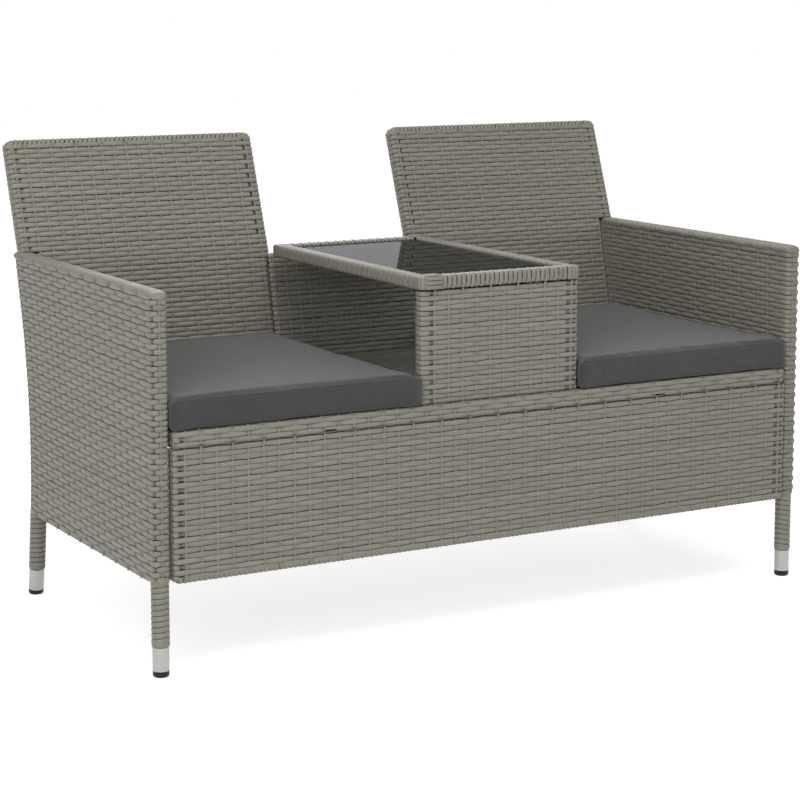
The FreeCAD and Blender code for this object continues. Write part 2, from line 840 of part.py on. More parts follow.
def make_back():
    """The back frame, and the woven skins of the two backs and of the part behind the table."""
    frame = weld(back_bars(back_tube / 2), back_bars(back_tube / 2 - tube_wall))
    right = tower(0, back_corner, back_edge).cut(tower(weave_thick, back_tube / 2, 0))
    inner_half = back_gap_half
    middle = back_profile(-inner_half, inner_half, 0, back_thickness, seat_height, panel_top)
    hollow = back_profile(-inner_half - over, inner_half + over, weave_thick, back_thickness - weave_thick,
                          seat_height + weave_thick, panel_top - weave_thick)
    middle = middle.cut(hollow)
    side_openings = [back_point(0, height) for height in (back_rail_z, panel_top - weave_thick - back_tube / 2)]
    for point in side_openings:
        start = V(back_gap_half - over, point.y, point.z)
        end = start + ACROSS * (weave_thick + 2 * over)
        right = right.cut(cylinder(start, end, back_tube / 2 + tube_play))
    for x in back_bolt_places:
        frame = frame.cut(insert_space(back_insert_seat(x), UP))
        if x > 0:
            low = V(x, rear_rail_y, seat_height - over)
            hole = Part.makeCylinder(bolt_radius + bolt_hole_play, weave_thick + 2 * over, low)
            right = right.cut(hole)
    for sign in (-1, 1):
        start = V(sign * table_bar_place, table_rear_screw_y(), panel_top - screw_length - over)
        shaft = cylinder(start, start + UP * (screw_length + 2 * over), screw_radius + tube_play)
        frame = frame.cut(shaft)
        middle = middle.cut(shaft)
    return largest(frame), largest(right), largest(middle)


# Table


def table_rear_screw_y():
    """The screw at a bar's rear end, on the axis of the rail behind the table."""
    return back_face(panel_top - weave_thick - back_tube / 2, back_middle)


def make_table_front():
    """The front panel's tube frame and its woven skin, standing on the seat."""
    half = front_panel_width / 2
    y0 = front_y + front_panel_setback
    y1 = y0 + front_panel_thickness
    axis_y = (y0 + y1) / 2
    inset = weave_thick + table_tube / 2
    low = seat_height + inset
    high = panel_top - inset
    corners = [V(-half + inset, axis_y, low), V(half - inset, axis_y, low),
               V(half - inset, axis_y, high), V(-half + inset, axis_y, high)]
    frame = weld(tube_ring(corners, table_tube / 2), tube_ring(corners, table_tube / 2 - tube_wall))
    outer = block(-half, half, y0, y1, seat_height, panel_top)

    def is_post(e):
        return along(e, UP)

    outer = round_edges(outer, edge_round, is_post)
    inner = block(-half + weave_thick, half - weave_thick, y0 + weave_thick, y1 - weave_thick,
                  seat_height + weave_thick, panel_top - weave_thick)
    skin = outer.cut(inner)
    for x in front_screw_places():
        start = V(x, front_screw_y(), seat_height - over)
        hole = cylinder(start, start + UP * (weave_thick + table_tube / 2), screw_radius + tube_play)
        skin = skin.cut(hole)
        frame = frame.cut(hole)
    for sign in (-1, 1):
        start = V(sign * table_bar_place, axis_y, panel_top - screw_length - over)
        hole = cylinder(start, start + UP * (screw_length + 2 * over), screw_radius + tube_play)
        skin = skin.cut(hole)
        frame = frame.cut(hole)
    return largest(frame), largest(skin)


def ring_block(outset, rail, z0, z1, corner):
    """A rectangular ring, its outer side drawn in from the rim's outline by an outset."""
    half = rim_width / 2 - outset
    y0 = front_y + rim_setback + outset
    y1 = front_y + rim_setback + rim_depth - outset
    outer = block(-half, half, y0, y1, z0, z1)
    inner = block(-half + rail, half - rail, y0 + rail, y1 - rail, z0 - over, z1 + over)
    if corner:
        outer = round_edges(outer, corner, lambda e: along(e, UP))
    return outer.cut(inner)


def ring_rails(ring, outset, rail):
    """A rectangular ring as four rails: the side ones run through, the others butt against them."""
    half = rim_width / 2 - outset
    y0 = front_y + rim_setback + outset
    y1 = front_y + rim_setback + rim_depth - outset
    z0 = table_under - over
    z1 = rim_top + over
    spaces = [
        ("left", block(-half - over, -half + rail, y0 - over, y1 + over, z0, z1)),
        ("right", block(half - rail, half + over, y0 - over, y1 + over, z0, z1)),
        ("front", block(-half + rail, half - rail, y0 - over, y0 + rail, z0, z1)),
        ("rear", block(-half + rail, half - rail, y1 - rail, y1 + over, z0, z1)),
    ]
    return [(side, largest(ring.common(space))) for side, space in spaces]


def make_rim():
    """The rim's tube ring, the windings of its rails and the smaller frame that the glass stands on."""
    skin = ring_block(0, rim_rail, table_under, rim_top, rim_corner)
    top = rim_top

    def is_upper(e):
        return e.BoundBox.ZMin > top - 0.01

    skin = round_edges(skin, rim_edge, is_upper)
    z0 = table_under + weave_thick
    z1 = rim_top - weave_thick
    cavity = ring_block(weave_thick, rim_rail - 2 * weave_thick, z0, z1, rim_corner - weave_thick)
    skin = skin.cut(cavity)
    wall = tube_wall
    bore = ring_block(weave_thick + wall, rim_rail - 2 * weave_thick - 2 * wall, z0 + wall, z1 - wall,
                      rim_corner - weave_thick - wall)
    frame = cavity.cut(bore)
    ledge_top = rim_top - glass_drop - glass_thick - seat_gap - pad_thick
    ledge_out = rim_rail + ledge_play
    ledge = ring_block(ledge_out, ledge_width, table_under, ledge_top, 0)
    hollow = ring_block(ledge_out + ledge_wall, ledge_width - 2 * ledge_wall, table_under + ledge_wall,
                        ledge_top - ledge_wall, 0)
    ledge = ledge.cut(hollow)
    for seat, direction in rim_screw_places():
        hole = cylinder(seat, seat + direction * (rim_screw_length + over), screw_radius + tube_play)
        frame = frame.cut(hole)
        skin = skin.cut(hole)
        ledge = ledge.cut(hole)
    for seat in ledge_screw_places():
        hole = cylinder(seat, seat + UP * screw_length, screw_radius + tube_play)
        ledge = ledge.cut(hole)
    windings = ring_rails(skin, 0, rim_rail)
    return largest(frame), windings, ring_rails(ledge, ledge_out, ledge_width), ledge_top


def rim_screw_places():
    """Screws from inside the glass seat's side tubes out into the rim, three on each side."""
    half = rim_width / 2 - rim_rail - ledge_play - ledge_width
    z = table_under + rim_screw_rise
    rows = []
    for sign in (-1, 1):
        for share in rim_screw_shares:
            y = front_y + rim_setback + rim_depth * share
            rows.append((V(sign * half, y, z), V(sign, 0, 0)))
    return rows


def ledge_screw_places():
    """Screws up through each bar into the glass seat's front and rear tubes."""
    offset = rim_rail + ledge_play + ledge_width / 2
    rows = []
    for sign in (-1, 1):
        for y in (rim_setback + offset, rim_setback + rim_depth - offset):
            rows.append(V(sign * table_bar_place, front_y + y, table_bar_top - table_bar_thick))
    return rows


def make_table_bars():
    """The two flat bars that carry the rim, from the front panel to the rail behind the table."""
    y0 = front_y + rim_setback + bar_recess
    y1 = table_rear_screw_y() + back_middle / 2
    bars = []
    front_axis = front_y + front_panel_setback + front_panel_thickness / 2
    for sign in (-1, 1):
        x = sign * table_bar_place
        bar = block(x - table_bar_width / 2, x + table_bar_width / 2, y0, y1, panel_top, table_bar_top)
        for y in (front_axis, table_rear_screw_y()):
            low = V(x, y, panel_top - over)
            bar = bar.cut(Part.makeCylinder(screw_radius + tube_play, table_bar_thick + 2 * over, low))
            sunk = V(x, y, table_bar_top - screw_head_height - tube_play)
            bar = bar.cut(Part.makeCylinder(screw_head_radius + tube_play, screw_head_height + over, sunk))
        bars.append(bar)
    for seat in ledge_screw_places():
        for k, bar in enumerate(bars):
            end = seat + UP * (table_bar_thick + over)
            bars[k] = bar.cut(cylinder(seat - UP * over, end, screw_radius + tube_play))
    return bars


def make_glass(ledge_top):
    """The tinted pane and the rubber pads that it stands on."""
    out = rim_rail + glass_side_play
    half = rim_width / 2 - out
    y0 = front_y + rim_setback + out
    y1 = front_y + rim_setback + rim_depth - out
    top = rim_top - glass_drop
    pane = block(-half, half, y0, y1, top - glass_thick, top)
    pane = round_edges(pane, glass_corner, lambda e: along(e, UP))
    pane = round_edges(pane, glass_edge, lambda e: not along(e, UP))
    inset = ledge_play + ledge_width / 2 - glass_side_play
    pads = []
    for x in (-half + inset, half - inset):
        for y in (y0 + pad_setback, (y0 + y1) / 2, y1 - pad_setback):
            pads.append(Part.makeCylinder(pad_radius, pad_thick, V(x, y, ledge_top)))
    return pane, pads


# Cushions


def cushion_outline(x0, x1, y0, y1, inset, draw, z):
    """A rounded rectangle whose sides draw in between the corners, at a height."""
    a0, a1, b0, b1 = x0 + inset, x1 - inset, y0 + inset, y1 - inset
    r = cushion_corner
    k = r * (1 - math.cos(math.radians(45)))
    mx = (a0 + a1) / 2
    my = (b0 + b1) / 2
    marks = [
        (V(a0 + r, b0, z), V(mx, b0 + draw, z), V(a1 - r, b0, z)),
        (V(a1 - r, b0, z), V(a1 - k, b0 + k, z), V(a1, b0 + r, z)),
        (V(a1, b0 + r, z), V(a1 - draw, my, z), V(a1, b1 - r, z)),
        (V(a1, b1 - r, z), V(a1 - k, b1 - k, z), V(a1 - r, b1, z)),
        (V(a1 - r, b1, z), V(mx, b1 - draw, z), V(a0 + r, b1, z)),
        (V(a0 + r, b1, z), V(a0 + k, b1 - k, z), V(a0, b1 - r, z)),
        (V(a0, b1 - r, z), V(a0 + draw, my, z), V(a0, b0 + r, z)),
        (V(a0, b0 + r, z), V(a0 + k, b0 + k, z), V(a0 + r, b0, z)),
    ]
    return Part.Wire([Part.Arc(*three).toShape() for three in marks])


def cushion_form(shrink):
    """The right cushion's filled form: boxed sides that belly a little, and a crowned top."""
    x0 = rim_width / 2 + soft_play + shrink
    x1 = arm_inner_x - soft_play - shrink
    y0 = front_y - cushion_overhang + shrink
    y1 = back_face(seat_height, 0) - cushion_rear_play - shrink
    z0 = seat_height + seat_gap + shrink
    z1 = seat_height + cushion_thick - shrink
    # Height, inset from the box and draw of the sides: seams at the bottom and top of the boxing
    levels = [
        (z0, cushion_seam_inset, cushion_draw),
        (z0 + cushion_seam_rise, cushion_side_inset, cushion_draw * 0.6),
        ((z0 + z1) / 2, 0.0, cushion_draw * 0.3),
        (z1 - cushion_seam_rise, cushion_side_inset, cushion_draw * 0.6),
        (z1, cushion_seam_inset, cushion_draw),
    ]
    for share, reach in crown_steps:
        levels.append((z1 + cushion_crown * share, cushion_seam_inset + reach, cushion_draw * (1.04 - share)))
    wires = [cushion_outline(x0, x1, y0, y1, inset, draw, z) for z, inset, draw in levels]
    return Part.makeLoft(wires, True, True)


def make_cushion():
    """The right cushion's cover and the foam block inside it."""
    outer = cushion_form(0)
    cover = outer.cut(cushion_form(cover_thick))
    return largest(cover), cushion_form(cover_thick + tube_play)


# Every piece, by name


def build_all():
    """All nodes of the bench, as a list of name and solids."""
    nodes = []
    arm_frame, arm_skin = make_arm()
    nodes.append(("left_arm_frame", [arm_frame]))
    nodes.append(("right_arm_frame", [mirror_x(arm_frame)]))
    nodes.append(("left_arm_weave", [arm_skin]))
    nodes.append(("right_arm_weave", [mirror_x(arm_skin)]))
    for name, point, direction in leg_axes():
        nodes.append((name + "_foot_cap", [foot_cap(point, direction)]))
        nodes.append((name + "_leg_sleeve", [leg_sleeve(point, direction)]))
    for name, winding in make_windings():
        nodes.append((name, [winding]))
    nodes.append(("seat_frame", [make_seat_frame()]))
    nodes.append(("seat_cross_tubes", cross_tubes()))
    nodes.append(("seat_deck_weave", [make_seat_weave()]))
    nodes.append(("skirt_weave", [make_skirt_weave()]))
    back_frame, back_skin, middle_skin = make_back()
    nodes.append(("back_frame", [back_frame]))
    nodes.append(("left_back_weave", [mirror_x(back_skin)]))
    nodes.append(("right_back_weave", [back_skin]))
    nodes.append(("middle_back_weave", [middle_skin]))
    front_frame, front_skin = make_table_front()
    nodes.append(("table_front_frame", [front_frame]))
    nodes.append(("table_front_weave", [front_skin]))
    rim_frame, windings, ledges, ledge_top = make_rim()
    nodes.append(("table_rim_frame", [rim_frame]))
    for side, winding in windings:
        nodes.append((f"table_rim_{side}_winding", [winding]))
    for side, ledge in ledges:
        nodes.append((f"glass_seat_{side}_tube", [ledge]))
    nodes.append(("table_support_bars", make_table_bars()))
    pane, pads = make_glass(ledge_top)
    nodes.append(("glass_top", [pane]))
    nodes.append(("glass_pads", pads))
    cover, foam = make_cushion()
    nodes.append(("left_cushion_cover", [mirror_x(cover)]))
    nodes.append(("right_cushion_cover", [cover]))
    nodes.append(("left_cushion_foam", [mirror_x(foam)]))
    nodes.append(("right_cushion_foam", [foam]))
    nodes += make_fasteners()
    return nodes


def make_fasteners():
    """Bolts, washers, inserts and screws, each kind as one group."""
    bolts = []
    washers = []
    spacers = []
    inserts = []
    face_x = seat_half - seat_band
    for y in arm_bolt_places:
        for sign in (-1, 1):
            out = V(sign, 0, 0)
            face = V(sign * face_x, front_y + y, seat_rail_z)
            washers.append(washer(face - out * washer_thick, out))
            bolts.append(bolt(face - out * washer_thick, out))
            spacers.append(spacer(y, sign))
            inserts.append(threaded_insert(V(sign * (arm_x - arm_seat_tube / 2), front_y + y, seat_rail_z), out))
    for x in back_bolt_places:
        face = V(x, rear_rail_y, seam_height)
        washers.append(washer(face - UP * washer_thick, UP))
        bolts.append(bolt(face - UP * washer_thick, UP))
        inserts.append(threaded_insert(back_insert_seat(x), UP))
    front_axis = front_y + front_panel_setback + front_panel_thickness / 2
    bar_screws = []
    for sign in (-1, 1):
        for y in (front_axis, table_rear_screw_y()):
            seat = V(sign * table_bar_place, y, table_bar_top - screw_head_height)
            bar_screws.append(screw(seat, UP * -1, screw_length))
    ring_screws = [screw(seat, direction, rim_screw_length) for seat, direction in rim_screw_places()]
    lift_screws = [screw(seat, UP, screw_length) for seat in ledge_screw_places()]
    front_screws = []
    for x in front_screw_places():
        seat = V(x, front_screw_y(), seam_height)
        front_screws.append(screw(seat, UP, seat_band + weave_thick + screw_bite))
    return [
        ("frame_bolts", bolts),
        ("frame_bolt_washers", washers),
        ("arm_spacers", spacers),
        ("threaded_inserts", inserts),
        ("table_bar_screws", bar_screws),
        ("table_ring_screws", ring_screws + lift_screws),
        ("table_front_screws", front_screws),
    ]


os.makedirs("parts", exist_ok=True)
for node, solids in build_all():
    shape = solids[0] if len(solids) == 1 else Part.makeCompound(solids)
    if not shape.isValid():
        print("not valid:", node)
    if any(s.Volume <= 0 for s in shape.Solids):
        print("inside out:", node)
    shape.exportStep(os.path.join("parts", node + ".step"))
    box = shape.BoundBox
    print("%-24s solids %2d volume %10.0f  X %7.1f %7.1f  Y %7.1f %7.1f  Z %6.1f %6.1f" % (
        node, len(shape.Solids), shape.Volume, box.XMin, box.XMax, box.YMin, box.YMax, box.ZMin, box.ZMax))
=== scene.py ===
import math
import random

import bmesh
import bpy
import numpy as np
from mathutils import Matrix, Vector
from mathutils.bvhtree import BVHTree


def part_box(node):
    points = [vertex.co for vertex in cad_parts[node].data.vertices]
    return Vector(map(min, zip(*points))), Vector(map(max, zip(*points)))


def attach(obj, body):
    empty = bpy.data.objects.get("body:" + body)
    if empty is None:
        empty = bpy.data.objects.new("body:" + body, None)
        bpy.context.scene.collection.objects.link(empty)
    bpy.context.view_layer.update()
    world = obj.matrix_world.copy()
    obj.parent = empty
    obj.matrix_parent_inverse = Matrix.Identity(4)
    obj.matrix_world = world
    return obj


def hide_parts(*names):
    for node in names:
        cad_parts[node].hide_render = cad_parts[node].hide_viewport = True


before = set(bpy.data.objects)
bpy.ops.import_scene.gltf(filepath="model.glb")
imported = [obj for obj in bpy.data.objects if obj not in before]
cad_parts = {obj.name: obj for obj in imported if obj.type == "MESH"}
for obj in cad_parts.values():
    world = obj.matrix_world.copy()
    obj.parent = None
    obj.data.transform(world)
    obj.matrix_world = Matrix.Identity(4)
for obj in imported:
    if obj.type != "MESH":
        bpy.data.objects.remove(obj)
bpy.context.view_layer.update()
scene = bpy.context.scene


# The welded tube frames that carry the weave, and the flat bars under the table.
# Steel tube, cut, bent and welded, then powder coated black in one dip. Only the bar ends and
# the tubes that show through the seat from below are seen.

def linear(code):
    """A colour written as six hex digits, as the shader's linear values."""
    parts = [int(code[i:i + 2], 16) / 255 for i in (0, 2, 4)]
    return (*[((p + 0.055) / 1.055) ** 2.4 if p > 0.04045 else p / 12.92 for p in parts], 1.0)


def add(tree, kind, inputs=(), **settings):
    """A node in a tree, with its settings, and each input given a value or a link."""
    node = tree.nodes.new("ShaderNode" + kind)
    for key, value in settings.items():
        setattr(node, key, value)
    for key, value in dict(inputs).items():
        if isinstance(value, bpy.types.NodeSocket):
            tree.links.new(value, node.inputs[key])
        else:
            node.inputs[key].default_value = value
    return node


def calc(tree, operation, *values):
    """The result of an operation on values and links."""
    return add(tree, "Math", dict(enumerate(values)), operation=operation).outputs[0]


def remap(tree, value, start, end, low=0.0, high=1.0):
    """A value that goes from start to end as the given one goes from low to high."""
    return add(tree, "MapRange", {"Value": value, "From Min": low, "From Max": high, "To Min": start,
                                  "To Max": end}).outputs[0]


def start_group(name, inputs, outputs):
    """An empty shader group with named inputs and outputs."""
    tree = bpy.data.node_groups.new(name, "ShaderNodeTree")
    for label, kind, value in inputs:
        tree.interface.new_socket(name=label, in_out="INPUT", socket_type=kind).default_value = value
    for label, kind in outputs:
        tree.interface.new_socket(name=label, in_out="OUTPUT", socket_type=kind)
    return tree, tree.nodes.new("NodeGroupInput").outputs, tree.nodes.new("NodeGroupOutput").inputs


def start_material(name):
    """A new material with an empty tree, and its Principled shader joined to the output."""
    material = bpy.data.materials.new(name)
    material.use_nodes = True
    tree = material.node_tree
    tree.nodes.clear()
    shader = add(tree, "BsdfPrincipled")
    add(tree, "OutputMaterial", {"Surface": shader.outputs[0]})
    return material, tree, shader


def join(tree, shader, source, height=None, depth=0.0):
    """Links a group's colour and roughness to a shader, and its height through a bump."""
    tree.links.new(source.outputs["Color"], shader.inputs["Base Color"])
    tree.links.new(source.outputs["Roughness"], shader.inputs["Roughness"])
    if depth:
        bump = add(tree, "Bump", {"Height": height or source.outputs["Height"], "Distance": depth})
        tree.links.new(bump.outputs[0], shader.inputs["Normal"])


def grain_group():
    """Mottled colour, uneven gloss and a fine skin, as on coated, moulded or cast surfaces."""
    tree, given, out = start_group(
        "surface_grain",
        [("Color", "NodeSocketColor", (0.5, 0.5, 0.5, 1)), ("Spread", "NodeSocketFloat", 0.1),
         ("Roughness", "NodeSocketFloat", 0.5), ("Uneven", "NodeSocketFloat", 0.1),
         ("Scale", "NodeSocketFloat", 900.0)],
        [("Color", "NodeSocketColor"), ("Roughness", "NodeSocketFloat"), ("Height", "NodeSocketFloat")])
    place = add(tree, "TexCoord").outputs["Object"]
    fine = add(tree, "TexNoise", {"Vector": place, "Scale": given["Scale"], "Detail": 3.0})
    broad = add(tree, "TexNoise", {"Vector": place, "Scale": 14.0, "Detail": 4.0})
    around = calc(tree, "SUBTRACT", calc(tree, "ADD", fine.outputs["Fac"], broad.outputs["Fac"]), 1.0)
    level = calc(tree, "ADD", calc(tree, "MULTIPLY", around, given["Spread"]), 1.0)
    tint = add(tree, "VectorMath", {0: given["Color"], "Scale": level}, operation="SCALE")
    gloss = calc(tree, "MULTIPLY_ADD", around, given["Uneven"], given["Roughness"])
    tree.links.new(tint.outputs[0], out["Color"])
    tree.links.new(gloss, out["Roughness"])
    tree.links.new(fine.outputs["Fac"], out["Height"])
    return tree


surface_grain = grain_group()


def grained(tree, color, spread, roughness, uneven, scale):
    """The grain group placed in a material's tree with its own values."""
    return add(tree, "Group", {"Color": linear(color), "Spread": spread, "Roughness": roughness,
                               "Uneven": uneven, "Scale": scale}, node_tree=surface_grain)


def dress(material, *names):
    """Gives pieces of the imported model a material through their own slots."""
    for name in names:
        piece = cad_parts[name]
        if not piece.material_slots:
            piece.data.materials.append(material)
        for place in piece.material_slots:
            place.link = "OBJECT"
            place.material = material


black_coat, tree, shader = start_material("black_powder_coat")
join(tree, shader, grained(tree, "1d1d1c", 0.25, 0.46, 0.12, 700.0), depth=0.00012)
dress(black_coat, "left_arm_frame", "right_arm_frame", "seat_frame", "seat_cross_tubes", "back_frame",
      "table_front_frame", "table_rim_frame", "table_support_bars",
      *[f"glass_seat_{rail}_tube" for rail in ("left", "right", "front", "rear")])


# The strand that everything is woven from: flat extruded plastic, about 8 mm wide and
# 1.6 mm thick, grey with a warm cast. Fine grooves run along it, each length has its own shade,
# and its face has a satin shine.

def strand_group():
    """Grooves and shade of a flat plastic strand, with painted shade where it is sunk under another and
    painted shade towards its edges.
    Along, Across and Seed place a point on it."""
    tree, given, out = start_group(
        "strand_grain_and_painted_shade",
        [("Color", "NodeSocketColor", (0.3, 0.3, 0.3, 1)), ("Along", "NodeSocketFloat", 0.0),
         ("Across", "NodeSocketFloat", 0.0), ("Seed", "NodeSocketFloat", 0.0),
         ("Sunk", "NodeSocketFloat", 0.0)],
        [("Color", "NodeSocketColor"), ("Roughness", "NodeSocketFloat"), ("Height", "NodeSocketFloat")])
    shift = calc(tree, "MULTIPLY", given["Seed"], 91.0)
    groove_place = add(tree, "CombineXYZ", {
        "X": calc(tree, "MULTIPLY", given["Along"], 14.0),
        "Y": calc(tree, "MULTIPLY", given["Across"], 9.0), "Z": shift})
    grooves = add(tree, "TexNoise", {"Vector": groove_place.outputs[0], "Scale": 1.0, "Detail": 3.0,
                                     "Roughness": 0.65})
    slow_place = add(tree, "CombineXYZ", {"X": calc(tree, "MULTIPLY", given["Along"], 5.0), "Y": 0.0,
                                          "Z": shift})
    slow = add(tree, "TexNoise", {"Vector": slow_place.outputs[0], "Scale": 1.0, "Detail": 1.0})
    level = remap(tree, given["Seed"], 0.94, 1.06)
    line = remap(tree, grooves.outputs["Fac"], 0.90, 1.08, 0.3, 0.7)
    drift = remap(tree, slow.outputs["Fac"], 0.93, 1.07, 0.3, 0.7)
    # Painted shade: the colour darkens to 0.84 towards the strand's edges, where the rows meet.
    edge = remap(tree, calc(tree, "ABSOLUTE", given["Across"]), 1.0, 0.84, 0.3, 0.5)
    # Painted shade: the colour darkens to 0.78 where the strand is sunk under a crossing strand.
    painted_dip_shade = remap(tree, given["Sunk"], 1.0, 0.78)
    for part in (line, drift, edge, painted_dip_shade):
        level = calc(tree, "MULTIPLY", level, part)
    tint = add(tree, "VectorMath", {0: given["Color"], "Scale": level}, operation="SCALE")
    tree.links.new(tint.outputs[0], out["Color"])
    tree.links.new(remap(tree, grooves.outputs["Fac"], 0.56, 0.30), out["Roughness"])
    tree.links.new(grooves.outputs["Fac"], out["Height"])
    return tree


strand_plastic, tree, shader = start_material("rattan_strand")
stamp = add(tree, "Attribute", attribute_name="strand")
axes = add(tree, "SeparateXYZ", {0: stamp.outputs["Vector"]}).outputs
# The sunk mark darkens the strand's colour as painted shade in the dips.
sunk_mark = add(tree, "Attribute", attribute_name="sunk").outputs["Fac"]
grain_and_shade = add(tree, "Group", {"Color": linear("858277"), "Along": axes["X"], "Across": axes["Y"],
                            "Seed": axes["Z"], "Sunk": sunk_mark}, node_tree=strand_group())
join(tree, shader, grain_and_shade, depth=0.00035)


# The left and right arm panels. Strands run level round each panel's tubes, over one upright
# strand and under the next, and the next course the other way about. Short lengths wound across
# the top and bottom rails bind the edges.

strand_width = 0.0084
strand_thickness = 0.0016
warp_width = 0.0046
upright_end = 0.0065
skin_middle = 0.0015
weave_swing = 0.0009
dip_reach = 0.0048
slit_drop = 0.0024
winding_crown = 1.9
row_cover = 1.04
edge_reach = 0.009
edge_pitch = 0.0092
edge_skew = 0.006
edge_dip = 0.0012
wander = 0.0003
jitter = 0.0002
calm_share = 0.85
calm_reach = 0.008
crossing_shares = np.array((0, 0.13, 0.36, 0.64, 0.87))
strand_section = ((-0.5, -0.5), (-0.37, 0.15), (0, 0.5), (0.37, 0.15), (0.5, -0.5))
shades = random.Random(7)


def lengths_along(points):
    """Length of a line from its start to each of its points."""
    return np.concatenate([[0.0], np.cumsum(np.linalg.norm(np.diff(points, axis=0), axis=1))])


def at_length(spots, lengths, rows):
    """Rows of values at given lengths, between the rows that stand at each of the lengths."""
    return np.stack([np.interp(spots, lengths, rows[:, k]) for k in range(rows.shape[1])], -1)


def strand_piece(name, runs, *nodes):
    """One piece of flat strands, crowned across. A run is points, outward directions, widths,
    how far it is sunk from 0 to 1, whether it closes, and how many times as thick it is."""
    points, stamps, sinks, faces = [], [], [], []
    first = 0
    corners = len(strand_section)
    for path, outward, widths, sunk, closed, crown in runs:
        count = len(path)
        sinks.append(np.repeat(np.broadcast_to(sunk, count), corners))
        ahead = np.roll(path, -1, 0) - np.roll(path, 1, 0) if closed else np.gradient(path, axis=0)
        side = np.cross(outward, ahead)
        side /= np.linalg.norm(side, axis=1)[:, None]
        seed = shades.random()
        thick = outward * crown * strand_thickness
        ring = np.stack([path + side * (widths * across)[:, None] + thick * up
                         for across, up in strand_section], 1)
        points.append(ring.reshape(-1, 3))
        for spot in lengths_along(path):
            stamps.extend((spot, across, seed) for across, _ in strand_section)
        index = first + np.arange(corners * count).reshape(count, corners)
        here, there = (index, np.roll(index, -1, 0)) if closed else (index[:-1], index[1:])
        turned_here, turned_there = np.roll(here, -1, 1), np.roll(there, -1, 1)
        faces.extend(np.stack([there, turned_there, turned_here, here], -1).reshape(-1, 4).tolist())
        if not closed:
            faces.append(index[0].tolist())
            faces.append(index[-1][::-1].tolist())
        first += corners * count
    mesh = bpy.data.meshes.new(name)
    mesh.from_pydata(np.concatenate(points).tolist(), [], faces)
    mesh.polygons.foreach_set("use_smooth", np.ones(len(faces), bool))
    mesh.attributes.new("strand", "FLOAT_VECTOR", "POINT").data.foreach_set(
        "vector", np.array(stamps, np.float32).ravel())
    mesh.attributes.new("sunk", "FLOAT", "POINT").data.foreach_set(
        "value", np.concatenate(sinks).astype(np.float32))
    mesh.materials.append(strand_plastic)
    piece = bpy.data.objects.new(name, mesh)
    scene.collection.objects.link(piece)
    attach(piece, "bench")
    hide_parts(*nodes)


def unit(vectors):
    return vectors / np.linalg.norm(vectors, axis=-1, keepdims=True)


def section_table(near, far, half, near_round, far_round):
    """The rounded outline of a level cut through a panel, from the middle of its near end:
    length so far, place along the panel and through it, and the outward direction."""
    quarter = np.linspace(0, math.pi / 2, 7)
    corners = ((near + near_round, half - near_round, near_round, math.pi),
               (far - far_round, half - far_round, far_round, math.pi / 2),
               (far - far_round, far_round - half, far_round, 0.0),
               (near + near_round, near_round - half, near_round, -math.pi / 2))
    rows = [(near, 0.0, -1.0, 0.0)]
    for along, through, radius, start in corners:
        for turn in start - quarter:
            c, s = math.cos(turn), math.sin(turn)
            rows.append((along + radius * c, through + radius * s, c, s))
    rows.append(rows[0])
    rows = np.array(rows)
    return lengths_along(rows[:, :2]), rows


def read_table(table, spots):
    """Places and outward directions at lengths along a section's outline."""
    found = at_length(spots, *table)
    return found[:, :2], unit(found[:, 2:])


def course_height(phase, gap):
    """How far a strand stands out where it has passed so many crossings: out at even ones."""
    swing = np.cos(math.pi * phase)
    apart = np.abs(np.mod(phase, 2) - 1) * gap
    dip = 1 - 2 * np.exp(-(apart / dip_reach) ** 2)
    return weave_swing * (0.35 * swing + 0.65 * dip)


def spaced(stops, shares, extra):
    """Lengths between stops at the given shares of each gap and at extra places, with how many
    crossings lie before each and the gap that it lies in."""
    gaps = np.diff(stops)
    spots = (stops[:-1, None] + gaps[:, None] * shares).ravel()
    spots = np.unique(np.round(np.concatenate([spots, extra]), 6))
    phase = np.interp(spots, stops, np.arange(len(stops)))
    return spots, phase, gaps[np.minimum(phase.astype(int), len(gaps) - 1)]


def sunk_share(height):
    return np.clip(-height / weave_swing, 0, 1)


def row_swell(height):
    """Width of a strand as a share of its full one: it narrows where it dives under an upright."""
    return 0.95 + 0.08 * np.clip(height / weave_swing, -1, 1)


